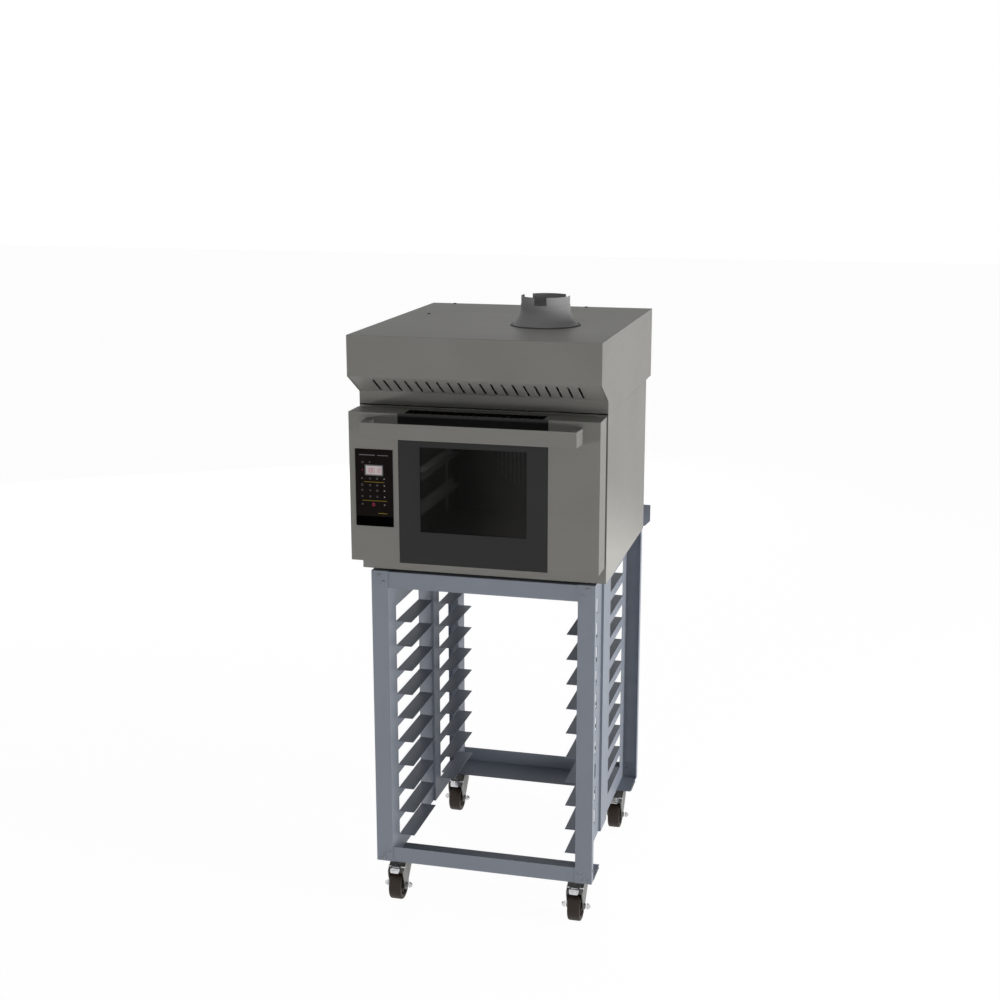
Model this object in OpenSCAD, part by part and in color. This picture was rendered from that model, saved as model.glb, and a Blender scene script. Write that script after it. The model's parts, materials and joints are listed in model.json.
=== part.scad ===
// Countertop convection oven with an extraction hood, standing on a tray stand with casters.
// X runs to the right, Y to the back and Z up from the floor. Inside the modules Y starts at
// the front face of the hood; placed() then moves the origin to the middle of the floor area.

/* [Oven body] */
// Width of the oven body and of the hood on top of it
oven_w = 600; // [570:5:700]
// Height of the oven body
body_h = 400; // [390:5:460]
// Depth of the oven body behind its front face
body_d = 542; // [530:1:600]
// Distance of the body's front face behind the hood's front face
body_setback = 84; // [76:1:110]
// Thickness of the folded steel sheets
sheet = 1.5; // [1:0.1:2]
// Height of the pads between the stand and the oven
foot_h = 4; // [3:0.5:12]
// Radius of these pads
foot_r = 16; // [10:1:20]

/* [Cooking chamber] */
// Width of the chamber between its walls
cavity_w = 360; // [340:5:380]
// Room above the chamber, up to the oven's top
cavity_top = 52; // [50:1:70]
// Room behind the chamber, up to the oven's rear
rear_room = 126.5; // [110:0.5:140]
// Height of the chamber floor above the oven's underside
cavity_lift = 68; // [66:1:76]
// Thickness of the insulation around the chamber
wool = 28; // [20:1:30]
// Depth of the fan space behind the baffle
fan_space = 48; // [44:1:60]
// Number of tray levels in the chamber
rack_levels = 3; // [2:1:3]
// Room above the highest tray level, up to the chamber's roof
rack_head = 42; // [36:1:60]
// Height of the lowest tray level above the chamber floor
rack_lift = 68; // [30:1:72]
// Width of the ledge that carries a tray
rack_ledge = 22; // [15:1:26]
// Height of a rail's upright wall
rack_wall = 18; // [10:1:24]
// Radius of the fan wheel
fan_r = 84; // [70:1:92]
// Number of fan blades
fan_blades = 12; // [6:1:18]
// Radius of the fan shaft
shaft_r = 6; // [4:0.5:8]
// Radius of the ring of the heating element
heater_r = 108; // [104:1:118]
// Radius of the heating element's tube
heater_tube = 4; // [3:0.5:5]
// Length of the fan motor
motor_l = 54; // [40:1:56]

/* [Door] */
// Thickness of the door
door_t = 71; // [60:1:80]
// Gap between the door and the body, filled by the seal
door_gap = 14; // [12:1:18]
// Height of the door's lower edge above the oven's underside
door_lift = 42.5; // [38:0.5:44]
// Gap beside the door on each side
door_side = 1.5; // [0.5:0.5:5]
// Width of the steel beside the glass strip in the door's front
glass_side = 120; // [112:1:130]
// Thickness of each glass pane
glass_t = 4; // [3:0.5:6]
// Distance of the clear view's sides from the chamber's walls
sight_side = 28; // [20:1:60]
// Height of the inner door above the clear view
sight_drop = 74.5; // [66:0.5:110]
// Height of the view's lower edge above the door's lower edge
sight_lift = 57; // [50:1:70]
// Distance of the hinge axis from the door's back face
pivot_in = 4; // [3:0.5:6]
// Height of the hinge axis above the door's lower edge
pivot_up = 4.5; // [4:0.5:6]
// Radius of the hinge pins
hinge_pin_r = 4; // [3:0.5:5]

/* [Handle and controls] */
// Width of the handle's front face
handle_w = 508; // [400:2:520]
// Height of the handle
handle_h = 37; // [28:1:44]
// Distance of the handle's front face from the door
handle_reach = 49; // [40:1:60]
// Sideways slope of each handle end
handle_flare = 4; // [2:1:14]
// Distance of the handle's top below the door's top
handle_drop = 15; // [8:1:20]
// Width of the closed box at each handle end
handle_end = 18; // [12:1:40]
// Thickness of the handle's sheet
handle_t = 2; // [1.5:0.5:4]
// Width of the control panel
panel_w = 92; // [80:1:96]
// Height of the control panel
panel_h = 185; // [150:1:200]
// Distance of the panel from the door's left edge
panel_inset = 14.5; // [10:0.5:20]
// Height of the panel above the door's lower edge
panel_lift = 85.5; // [60:0.5:100]
// Width of the digital display
display_w = 41; // [30:1:60]
// Height of the digital display
display_h = 22; // [14:1:30]
// Distance of the display below the panel's top
display_drop = 39; // [20:1:60]

/* [Hood] */
// Height of the hood above the oven body
hood_h = 178; // [170:1:220]
// Depth of the hood
hood_d = 702; // [690:2:740]
// Height of the hood's plain front face
fascia_h = 96; // [80:1:104]
// Height of the upright band under the sloping louvre panel
band_h = 34; // [20:1:40]
// Gap between the upright band and the oven's top
band_gap = 5; // [2:0.5:8]
// Distance of the louvre panel behind the edge of the cheeks
louvre_recess = 1.5; // [1:0.5:6]
// Number of louvre slots
louvre_count = 20; // [10:1:21]
// Distance between two louvre slots
louvre_pitch = 25.6; // [15:0.1:26]
// Length of a louvre slot down the slope
louvre_l = 70; // [40:1:72]
// Width of a louvre slot
louvre_slot = 6; // [3:0.5:7]
// Position of the exhaust collar to the right of the middle
collar_x = 105; // [60:1:130]
// Distance of the exhaust collar behind the hood's front
collar_y = 291; // [280:1:340]
// Outer radius of the collar's neck
collar_r = 59.5; // [50:0.5:65]
// Outer radius of the collar's flared base
collar_base_r = 81; // [76:1:90]
// Height of the flared part of the collar
flare_h = 41; // [20:1:50]
// Height of the collar's straight neck
neck_h = 30; // [24:1:60]
// Width of the notches in the neck's rim
notch_w = 30; // [10:1:36]
// Depth of these notches
notch_d = 19; // [5:1:20]
// Radius of the extraction blower's wheel
blower_r = 68; // [50:1:76]
// Height of the extraction blower's wheel
blower_h = 40; // [25:1:45]

/* [Stand] */
// Width of the stand
stand_w = 554; // [530:2:580]
// Depth of the stand
stand_d = 680; // [670:2:740]
// Height of the stand's frame above the casters
stand_h = 765; // [740:5:900]
// Distance of the stand's front behind the hood's front
stand_setback = 76; // [74:1:80]
// Width of the side frames' flanges
flange_w = 42; // [36:1:50]
// Depth of the lip along each flange
lip_d = 20; // [10:1:30]
// Height of the cross rails at the top
top_rail_h = 42; // [30:1:50]
// Height of the cross rails at the bottom
low_rail_h = 40; // [30:1:44]
// Depth of the shelf folded from the bottom rails
low_shelf_d = 110; // [100:1:130]
// Depth of the shelf folded from the top rails
top_shelf_d = 60; // [40:1:80]
// Number of tray levels in the stand
slide_levels = 10; // [4:1:10]
// Height between two tray levels of the stand
slide_pitch = 63.5; // [50:0.5:65]
// Height of the lowest level above the frame's bottom
slide_lift = 49; // [46:1:60]
// Width of the tray slides bent out of the side frames
slide_w = 39; // [25:1:42]
// Length of each slide
slide_l = 190; // [150:2:210]
// Distance of the slides from the stand's front and back
slide_inset = 60; // [50:1:70]
// Width of the stiffening rib in each side frame
rib_w = 78; // [40:1:90]
// Depth of this rib
rib_d = 8; // [4:1:12]

/* [Casters] */
// Height from the floor to the stand's frame
caster_h = 115; // [112:1:125]
// Distance of the casters from the middle plane
caster_x = 232; // [220:1:232]
// Distance of a caster's swivel axis from the stand's front or back
caster_inset = 64; // [60:1:70]
// Distance of the wheel axle from the swivel axis
trail = 30; // [24:1:34]
// Diameter of the wheels
wheel_d = 75; // [65:1:76]
// Width of the wheels
wheel_w = 32; // [24:1:34]
// Radius of the wheel axles
axle_r = 4; // [3:0.5:6]
// Radius of the swivel pins
king_r = 5; // [4:0.5:7]

/* [Hidden] */
$fn = 48;

// Clearances: around a turning pin, around a fixed piece in a hole, and between a moving
// piece and what it nearly touches
run_fit = 0.05;
hole_fit = 0.2;
near_fit = 0.3;
// Margin by which cuts run past the faces they cut
past = 1;

// Colours, close to the painted and brushed finishes
steel = [0.53, 0.53, 0.50];
blue_grey = [0.46, 0.49, 0.54];
zinc = [0.62, 0.63, 0.64];
dark = [0.09, 0.09, 0.09];
tinted = [0.20, 0.20, 0.20];

// Heights, from the floor
stand_z0 = caster_h;
stand_z1 = stand_z0 + stand_h;
body_z0 = stand_z1 + foot_h;
body_z1 = body_z0 + body_h;
hood_z0 = body_z1;
hood_z1 = hood_z0 + hood_h;
door_z0 = body_z0 + door_lift;
door_z1 = body_z1;
door_h = door_z1 - door_z0;
cavity_h = body_h - cavity_lift - cavity_top;
cavity_d = body_d - sheet - rear_room;
rack_pitch = (cavity_h - rack_lift - rack_head) / max(rack_levels - 1, 1);
cav_z0 = body_z0 + cavity_lift;
cav_z1 = cav_z0 + cavity_h;
fan_z = (cav_z0 + cav_z1) / 2;

// Depths, from the hood's front face
body_y0 = body_setback;
body_y1 = body_y0 + body_d;
door_y1 = body_y0 - door_gap;
door_y0 = door_y1 - door_t;
handle_y0 = door_y0 - handle_reach;
stand_y0 = stand_setback;
stand_y1 = stand_y0 + stand_d;
stand_mid = (stand_y0 + stand_y1) / 2;
cav_y0 = body_y0 + sheet;
cav_y1 = cav_y0 + cavity_d;
baffle_y = cav_y1 - fan_space;
wool_y1 = cav_y1 + sheet + wool;
screw_head_h = 2.2;
mid_y = (handle_y0 + max(stand_y1 + screw_head_h, hood_d)) / 2;

// Half widths
half_w = oven_w / 2;
half_in = half_w - sheet;
door_half = half_w - door_side;
glass_w = 2 * (door_half - glass_side);
cav_half = cavity_w / 2;
stand_half = stand_w / 2;
web_x = stand_half - flange_w;

// Hinge axis, and the pocket in the door that keeps clear of the brackets
pivot_y = door_y1 - pivot_in;
pivot_z = door_z0 + pivot_up;
knuckle_r = 2 * hinge_pin_r;
knuckle_w = 12;
knuckle_x = door_half - 46.5;
bracket_t = 4;
bracket_x = knuckle_x + knuckle_w + 4;
bracket_lap = 6;
bracket_foot = 2;
arm_l = 70;
arm_t = 6;
pocket_r = knuckle_r + 3;

// Two screws in each corner of the stand: distances from its side edge and from its end
stand_screw_r = 2.5;
stand_screw_at = [[18, 10.5], [30, 27]];
screw_head_r = 4;
// Bolt in each front lip: distances from the stand's front and from its lower end
lip_bolt_at = [12, 31];

// Places of the four screws in the hood's top
hood_screw_r = 2;
hood_screw_in = [64, 174];
hood_screw_rear = [254, 14];
hood_screw_xs = [hood_screw_in[0] - half_w, half_w - hood_screw_in[1]];
hood_screw_ys = [hood_d - hood_screw_rear[0], hood_d - hood_screw_rear[1]];

// Steam duct from the chamber into the hood
duct_r = 16;
duct_x = -80;
duct_y = 320;

// Pieces in the rear panel
inlet_in = 80;
gland_x = half_w - inlet_in;
gland_lift = 38;
gland_r = 12;
gland_l = 30;
gland_out = 16;
cable_r = 6.5;
valve_x = inlet_in - half_w;
valve_lift = 42;
valve_r = 13.2;
valve_neck_r = 15;
valve_out = 16;

// Caster parts, from the swivel axis
plate_t = 3;
plate_w = 90;
plate_l = 70;
race_r = 24;
crown_r = 28;
crown_t = 5;
crown_z1 = caster_h - plate_t - 8;
leg_t = 2.5;
leg_in = wheel_w / 2 + 2.5;
axle_head = 3;
wheel_r = wheel_d / 2;
pedal_pin_r = 2.5;
pedal_y = -44;
pedal_z = crown_z1 - 12;

// Moves a piece from the hood's front face to the middle of the floor area
module placed() { translate([0, -mid_y, 0]) children(); }

// Draws its children on both sides of the middle plane
module both_sides() {
    children();
    mirror([1, 0, 0]) children();
}

// A box given by its two ends along each axis
module slab(x, y, z) {
    translate([x[0], y[0], z[0]]) cube([x[1] - x[0], y[1] - y[0], z[1] - z[0]]);
}

// A flat outline in Y and Z, extruded from one X to another
module along_x(x) {
    translate([x[0], 0, 0]) rotate([90, 0, 90]) linear_extrude(x[1] - x[0]) children();
}

// Round rods along X and along Y
module rod_x(x, y, z, r) { translate([x[0], y, z]) rotate([0, 90, 0]) cylinder(r = r, h = x[1] - x[0]); }
module rod_y(y, x, z, r) { translate([x, y[1], z]) rotate([90, 0, 0]) cylinder(r = r, h = y[1] - y[0]); }

// Hood: folded shell with cheeks whose lower front corner slopes back to the oven's front
module cheek_outline() {
    polygon([[0, hood_z1], [0, hood_z1 - fascia_h], [body_y0, hood_z0 + band_h],
        [body_y0, hood_z0], [hood_d, hood_z0], [hood_d, hood_z1]]);
}

module hood_shell() {
    color(steel) placed() difference() {
        union() {
            both_sides() along_x([half_in, half_w]) cheek_outline();
            slab([-half_in, half_in], [0, hood_d], [hood_z1 - sheet, hood_z1]);
            slab([-half_in, half_in], [0, sheet], [hood_z1 - fascia_h, hood_z1 - sheet]);
            slab([-half_in, half_in], [hood_d - sheet, hood_d], [hood_z0, hood_z1 - sheet]);
        }
        translate([collar_x, collar_y, hood_z1 - sheet - past])
            cylinder(r = collar_r - sheet, h = sheet + 2 * past);
        hood_screw_places() cylinder(r = hood_screw_r + hole_fit, h = 2 * sheet + 2 * past, center = true);
    }
}

// Louvre panel: sloping underside behind the fascia and the upright band below it
slope_a = atan2(hood_h - fascia_h - band_h, body_y0);
slope_l = norm([body_y0, hood_h - fascia_h - band_h]);
louvre_shift = 7;

module louvre_panel() {
    rise = louvre_recess / cos(slope_a);
    top_z = hood_z1 - fascia_h + rise - sheet * tan(slope_a);
    low_z = hood_z0 + band_h + rise;
    thick = sheet / cos(slope_a);
    foot_z = hood_z0 + band_gap;
    color(steel) placed() difference() {
        along_x([-half_in, half_in]) polygon([[sheet, top_z], [body_y0, low_z], [body_y0, foot_z],
            [body_y0 + sheet, foot_z], [body_y0 + sheet, low_z + thick], [sheet, top_z + thick]]);
        for (i = [0 : louvre_count - 1])
            translate([(i - (louvre_count - 1) / 2) * louvre_pitch, body_y0, hood_z0 + band_h])
                rotate([-slope_a, 0, 0])
                    translate([-louvre_slot / 2, louvre_shift - (slope_l + louvre_l) / 2, -past])
                        cube([louvre_slot, louvre_l, louvre_recess + sheet + 2 * past]);
    }
}

module hood_base() {
    color(steel) placed() difference() {
        slab([-half_in, half_in], [body_y0 + sheet, hood_d - sheet], [hood_z0, hood_z0 + sheet]);
        translate([duct_x, duct_y, hood_z0 - past]) cylinder(r = duct_r + hole_fit, h = sheet + 2 * past);
    }
}

// Grease filter: a framed pack of upright baffles standing behind the louvres
filter_w = 480;
filter_d = 36;
filter_y = 46;
filter_frame = 6;
filter_fins = 23;

module grease_filter() {
    z0 = hood_z0 + sheet;
    z1 = hood_z1 - sheet - 24;
    y0 = body_y0 + filter_y;
    y1 = y0 + filter_d;
    inner = filter_w / 2 - filter_frame;
    step = 2 * inner / (filter_fins + 1);
    color([0.70, 0.71, 0.72]) placed() union() {
        difference() {
            slab([-filter_w / 2, filter_w / 2], [y0, y1], [z0, z1]);
            slab([-inner, inner], [y0 - past, y1 + past], [z0 + filter_frame, z1 - filter_frame]);
        }
        for (i = [1 : filter_fins])
            slab([i * step - inner - sheet, i * step - inner + sheet], [y0 + sheet, y1 - sheet],
                [z0 + filter_frame - past, z1 - filter_frame + past]);
    }
}

// Extraction blower under the collar: drum housing, wheel on its shaft, and motor
blower_gap = 10;
blower_motor_r = 34;
blower_motor_h = 34;
blower_base = 4;
blower_shaft_r = 4;
blower_z0 = hood_z0 + sheet + blower_base + blower_motor_h + 8;
blower_floor = 4;
blower_lip = 12;
blower_blades = 24;
blade_l = 12;
blade_turn = 35;
hub_h = 15;

module blower_housing() {
    r = blower_r + blower_gap;
    low = blower_z0 - blower_floor;
    top = hood_z1 - sheet;
    color([0.60, 0.61, 0.62]) placed() translate([collar_x, collar_y, 0]) difference() {
        union() {
            translate([0, 0, low]) cylinder(r = r, h = top - low);
            translate([0, 0, top - sheet]) cylinder(r = r + blower_lip, h = sheet);
        }
        translate([0, 0, low + sheet]) cylinder(r = r - sheet, h = top - low - 2 * sheet);
        translate([0, 0, low - past]) cylinder(r = blower_r * 0.7, h = sheet + 2 * past);
        translate([0, 0, top - sheet - past]) cylinder(r = collar_r - sheet, h = sheet + 2 * past);
    }
}

module blower_wheel() {
    ring = 2;
    color([0.66, 0.67, 0.68]) placed() translate([collar_x, collar_y, 0]) union() {
        translate([0, 0, blower_z0 + blower_h - ring]) cylinder(r = blower_r, h = ring);
        translate([0, 0, blower_z0]) difference() {
            cylinder(r = blower_r, h = ring);
            translate([0, 0, -past]) cylinder(r = blower_r - blade_l - ring, h = ring + 2 * past);
        }
        translate([0, 0, blower_z0 + blower_h - past - hub_h]) cylinder(r = 3 * blower_shaft_r, h = hub_h);
        translate([0, 0, blower_z0 - blower_motor_h + 6])
            cylinder(r = blower_shaft_r, h = blower_motor_h + blower_h - 8);
        for (i = [0 : blower_blades - 1])
            rotate([0, 0, i * 360 / blower_blades]) translate([blower_r - blade_l - past, 0, blower_z0 + 1])
                rotate([0, 0, blade_turn]) translate([0, -sheet / 2, 0]) cube([blade_l, sheet, blower_h - 2]);
    }
}

module blower_motor() {
    z0 = hood_z0 + sheet;
    color([0.25, 0.26, 0.27]) placed() translate([collar_x, collar_y, 0]) difference() {
        union() {
            translate([0, 0, z0]) cylinder(r = blower_motor_r + 14, h = blower_base);
            translate([0, 0, z0 + blower_base - past])
                cylinder(r = blower_motor_r, h = blower_motor_h + past);
        }
        translate([0, 0, z0 + blower_base + 4])
            cylinder(r = blower_shaft_r + run_fit, h = blower_motor_h + past);
    }
}

// Exhaust collar: flared base, straight neck and three notches in its rim
flare_steps = 8;
notch_turn = [270, 150, 30];
rim_step = 0.8;
rim_below = 1;
function flare_r(t) = collar_r + (collar_base_r - collar_r) * pow(t, 1.8);

module flue_collar() {
    top = flare_h + neck_h;
    rim_r = collar_r - rim_step;
    step_z = top - notch_d - rim_below;
    rim = [[collar_r, step_z], [rim_r, step_z], [rim_r, top], [rim_r - sheet, top],
        [rim_r - sheet, step_z], [collar_r - sheet, step_z]];
    outer = [for (i = [0 : flare_steps]) [flare_r(1 - i / flare_steps), flare_h * i / flare_steps]];
    inner = [for (i = [flare_steps : -1 : 0])
        [flare_r(1 - i / flare_steps) - sheet, flare_h * i / flare_steps]];
    color([0.42, 0.42, 0.42]) placed() translate([collar_x, collar_y, hood_z1]) difference() {
        rotate_extrude($fn = 96) polygon(concat(outer, rim, inner));
        for (a = notch_turn)
            rotate([0, 0, a]) translate([collar_r / 2, -notch_w / 2, top - notch_d])
                cube([collar_r, notch_w, notch_d + past]);
    }
}

module hood_screw_places() {
    for (x = hood_screw_xs, y = hood_screw_ys)
        translate([x, y, hood_z1]) children();
}

module hood_screws() {
    color(zinc) placed() hood_screw_places() union() {
        cylinder(r = 4.5, h = 2);
        translate([0, 0, -10]) cylinder(r = hood_screw_r, h = 11);
    }
}

// Oven body: wrap-round casing, base pan, rear panel and front frame
module oven_casing() {
    y = [body_y0 + sheet, body_y1 - sheet];
    color(steel) placed() difference() {
        union() {
            both_sides() slab([half_in, half_w], y, [body_z0, body_z1]);
            slab([-half_in, half_in], y, [body_z1 - sheet, body_z1]);
        }
        translate([duct_x, duct_y, body_z1 - sheet - past])
            cylinder(r = duct_r + hole_fit, h = sheet + 2 * past);
    }
}

pan_rim = 20;

module base_pan() {
    y = [body_y0 + sheet, body_y1 - sheet];
    color(steel) placed() difference() {
        slab([-half_in, half_in], y, [body_z0, body_z0 + pan_rim]);
        slab([-half_in + sheet, half_in - sheet], [y[0] + sheet, y[1] - sheet],
            [body_z0 + sheet, body_z0 + pan_rim + past]);
    }
}

// Rows of cooling slots in the rear panel
vent_w = 4;
vent_h = 60;
vent_count = 10;
vent_pitch = 10;
vent_in = 80;
vent_drop = 50;

module rear_vents() {
    for (s = [-1, 1], i = [0 : vent_count - 1]) {
        x = s * (half_w - vent_in) + (i - (vent_count - 1) / 2) * vent_pitch - vent_w / 2;
        slab([x, x + vent_w], [body_y1 - sheet - past, body_y1 + past],
            [body_z1 - vent_drop - vent_h, body_z1 - vent_drop]);
    }
}

module rear_panel() {
    y = [body_y1 - sheet - past, body_y1 + past];
    color(steel) placed() difference() {
        slab([-half_w, half_w], [body_y1 - sheet, body_y1], [body_z0, body_z1]);
        rear_vents();
        rod_y(y, gland_x, body_z0 + gland_lift, gland_r + hole_fit);
        rod_y(y, valve_x, body_z0 + valve_lift, valve_neck_r + hole_fit);
    }
}

module front_frame() {
    color(steel) placed() difference() {
        slab([-half_w, half_w], [body_y0, body_y0 + sheet], [body_z0, body_z1]);
        slab([-cav_half, cav_half], [body_y0 - past, body_y0 + sheet + past], [cav_z0, cav_z1]);
    }
}

// Chamber: an open box with holes for the shaft, the heater's ends and the steam duct
heater_end_x = 14;

module heater_ends(r, y) {
    for (s = [-1, 1])
        rod_y(y, s * heater_end_x, fan_z - heater_r, r);
}

module cavity_liner() {
    color([0.62, 0.62, 0.60]) placed() difference() {
        slab([-cav_half - sheet, cav_half + sheet], [cav_y0, cav_y1 + sheet], [cav_z0 - sheet, cav_z1 + sheet]);
        slab([-cav_half, cav_half], [cav_y0 - past, cav_y1], [cav_z0, cav_z1]);
        rod_y([cav_y1 - past, cav_y1 + sheet + past], 0, fan_z, shaft_r + 2);
        heater_ends(heater_tube + hole_fit, [cav_y1 - past, cav_y1 + sheet + past]);
        translate([duct_x, duct_y, cav_z1 - past]) cylinder(r = duct_r - sheet, h = sheet + 2 * past);
    }
}

module insulation() {
    half = cav_half + sheet;
    color([0.85, 0.80, 0.62]) placed() difference() {
        slab([-half - wool, half + wool], [cav_y0, wool_y1], [cav_z0 - sheet - wool, cav_z1 + sheet + wool]);
        slab([-half, half], [cav_y0 - past, cav_y1 + sheet], [cav_z0 - sheet, cav_z1 + sheet]);
        rod_y([cav_y1, wool_y1 + past], 0, fan_z, shaft_r + 2);
        heater_ends(heater_tube + hole_fit, [cav_y1, wool_y1 + past]);
        translate([duct_x, duct_y, cav_z1]) cylinder(r = duct_r + hole_fit, h = sheet + wool + past);
    }
}

// Door seal: a square ring on the front frame around the chamber's mouth
seal_w = 12;
seal_out = 2;

module door_gasket() {
    y = [door_y1 + near_fit, body_y0];
    inner = cav_half + seal_out;
    color([0.20, 0.20, 0.20]) placed() difference() {
        slab([-inner - seal_w, inner + seal_w], y, [cav_z0 - seal_out - seal_w, cav_z1 + seal_out + seal_w]);
        slab([-inner, inner], [y[0] - past, y[1] + past], [cav_z0 - seal_out, cav_z1 + seal_out]);
    }
}

// Baffle in front of the fan: suction slots in the middle, blow slots at both sides
baffle_edge = 2;
baffle_post_r = 5;
suction_r = 62;
suction_pitch = 11;
blow_rows = 4;

module fan_baffle() {
    half = cav_half - baffle_edge;
    z = [cav_z0 + baffle_edge, cav_z1 - baffle_edge];
    y = [baffle_y, baffle_y + sheet];
    cut = [y[0] - past, y[1] + past];
    row = (z[1] - z[0] - 40) / blow_rows;
    color([0.58, 0.58, 0.57]) placed() union() {
        difference() {
            slab([-half, half], y, z);
            for (i = [-5 : 5]) {
                reach = sqrt(suction_r * suction_r - pow(i * suction_pitch, 2));
                slab([i * suction_pitch - 3, i * suction_pitch + 3], cut, [fan_z - reach, fan_z + reach]);
            }
            both_sides() for (i = [0 : 2], k = [0 : blow_rows - 1])
                slab([half - 14 - i * 14, half - 8 - i * 14], cut,
                    [z[0] + 20 + k * row, z[0] + 20 + (k + 0.7) * row]);
        }
        for (sx = [-1, 1], sz = [-1, 1])
            rod_y([y[1] - sheet / 2, cav_y1], sx * (half - 12), fan_z + sz * (cavity_h / 2 - 12),
                baffle_post_r);
    }
}

// Heating element: two rings around the fan wheel and two ends through the back wall
heater_step = 14;

module heating_element() {
    ring_y = cav_y1 - fan_space / 2;
    color([0.35, 0.30, 0.27]) placed() union() {
        for (s = [-1, 1])
            translate([0, ring_y + s * heater_step / 2, fan_z]) rotate([90, 0, 0])
                rotate_extrude() translate([heater_r, 0]) circle(r = heater_tube);
        heater_ends(heater_tube, [ring_y - heater_step / 2, wool_y1 + 12]);
    }
}

// Fan wheel with its shaft, and the motor that drives it
wheel_gap = 6;

module fan_wheel() {
    y0 = baffle_y + sheet + wheel_gap;
    y1 = cav_y1 - wheel_gap;
    color([0.60, 0.60, 0.60]) placed() union() {
        rod_y([y1 - 2, y1], 0, fan_z, fan_r);
        difference() {
            rod_y([y0, y0 + 2], 0, fan_z, fan_r);
            rod_y([y0 - past, y0 + 2 + past], 0, fan_z, fan_r - 10);
        }
        rod_y([y1 - 20, y1], 0, fan_z, shaft_r + 8);
        rod_y([y1 - 24, wool_y1 + motor_l - 10], 0, fan_z, shaft_r);
        translate([0, 0, fan_z]) for (i = [0 : fan_blades - 1])
            rotate([0, i * 360 / fan_blades, 0])
                slab([fan_r - 30, fan_r - 1], [y0 + 1, y1 - 1], [-1, 1]);
    }
}

motor_r = 44;
motor_plate = 120;
motor_feet = 3;

module fan_motor() {
    color([0.28, 0.29, 0.30]) placed() difference() {
        union() {
            slab([-motor_plate / 2, motor_plate / 2], [wool_y1, wool_y1 + motor_feet],
                [fan_z - motor_plate / 2, fan_z + motor_plate / 2]);
            rod_y([wool_y1 + motor_feet - past, wool_y1 + motor_l], 0, fan_z, motor_r);
        }
        rod_y([wool_y1 - past, wool_y1 + motor_l - 6], 0, fan_z, shaft_r + run_fit);
    }
}

// Tray racks: rails with a ledge and an upright wall, on two posts beside the chamber wall
rack_post_w = 12;
rack_post_t = 3;
rack_front = 12;
rack_back = 4;
rack_post_in = 44;

module rack() {
    x1 = cav_half - near_fit;
    x0 = x1 - rack_post_t;
    y0 = cav_y0 + rack_front;
    y1 = baffle_y - rack_back;
    color([0.66, 0.66, 0.65]) placed() union() {
        for (y = [y0 + 8, y1 - rack_post_in - rack_post_w])
            slab([x0, x1], [y, y + rack_post_w],
                [cav_z0 + near_fit, cav_z0 + rack_lift + (rack_levels - 1) * rack_pitch + rack_wall + 6]);
        for (i = [0 : rack_levels - 1]) {
            z = cav_z0 + rack_lift + i * rack_pitch;
            slab([x0 - sheet, x0 + sheet / 2], [y0, y1], [z - sheet, z + rack_wall]);
            slab([x0 - rack_ledge, x0], [y0, y1], [z - sheet, z]);
        }
    }
}

module left_rack() { mirror([1, 0, 0]) rack(); }
module right_rack() { rack(); }

// Power board on four pillars beside the chamber, with relays, a transformer and a capacitor
board_l = 200;
board_h = 170;
board_t = 1.6;
pillar_l = 8;
pillar_in = 10;
board_y = 180;
board_lift = 60;
relay_at = [20, 20];
relay_size = [28, 20, 24];
relay_pitch = 42;
coil_at = [24, 80];
coil_size = [60, 32, 50];
cap_at = [130, 105];
cap_size = [11, 28];

module board_part(at, size) {
    x1 = half_in - pillar_l - board_t;
    slab([x1 - size[1], x1 + board_t / 2], [at[0], at[0] + size[0]], [at[1], at[1] + size[2]]);
}

module power_board() {
    x1 = half_in - pillar_l;
    y0 = body_y0 + board_y;
    z0 = body_z0 + board_lift;
    color([0.10, 0.35, 0.20]) placed() union() {
        slab([x1 - board_t, x1], [y0, y0 + board_l], [z0, z0 + board_h]);
        for (y = [y0 + pillar_in, y0 + board_l - pillar_in], z = [z0 + pillar_in, z0 + board_h - pillar_in])
            rod_x([x1 - board_t / 2, half_in], y, z, 3.5);
        for (i = [0 : 3])
            board_part([y0 + relay_at[0] + i * relay_pitch, z0 + relay_at[1]], relay_size);
        board_part([y0 + coil_at[0], z0 + coil_at[1]], coil_size);
        rod_x([x1 - cap_size[1] - board_t, x1 - board_t / 2], y0 + cap_at[0], z0 + cap_at[1], cap_size[0]);
    }
}

// Cable gland: flange outside, lock nut inside, and the bore for the supply cable
module cable_gland() {
    z = body_z0 + gland_lift;
    y = [body_y1 + gland_out - gland_l, body_y1 + gland_out];
    nut = 5;
    color(dark) placed() difference() {
        union() {
            rod_y(y, gland_x, z, gland_r);
            rod_y([body_y1, body_y1 + nut], gland_x, z, gland_r + 4);
            translate([gland_x, body_y1 - sheet, z]) rotate([90, 0, 0])
                cylinder(r = gland_r + nut, h = nut, $fn = 6);
        }
        rod_y([y[0] - past, y[1] + past], gland_x, z, cable_r);
    }
}

// Water valve: neck in the rear panel, threaded nozzle behind it, and the coil inside
valve_flange = 4;
valve_coil = [32, 35, 40];

module water_valve() {
    z = body_z0 + valve_lift;
    y = body_y1 - sheet - valve_flange;
    color([0.80, 0.80, 0.78]) placed() difference() {
        union() {
            rod_y([y, body_y1], valve_x, z, valve_neck_r);
            rod_y([body_y1 - past, body_y1 + valve_out], valve_x, z, valve_r);
            rod_y([y, y + valve_flange], valve_x, z, valve_neck_r + valve_flange);
            slab([valve_x - valve_coil[0] / 2, valve_x + valve_coil[0] / 2], [y - valve_coil[1], y + past],
                [z - 12, z - 12 + valve_coil[2]]);
        }
        rod_y([y + valve_flange / 2, body_y1 + valve_out + past], valve_x, z, valve_r - 4);
    }
}

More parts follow.
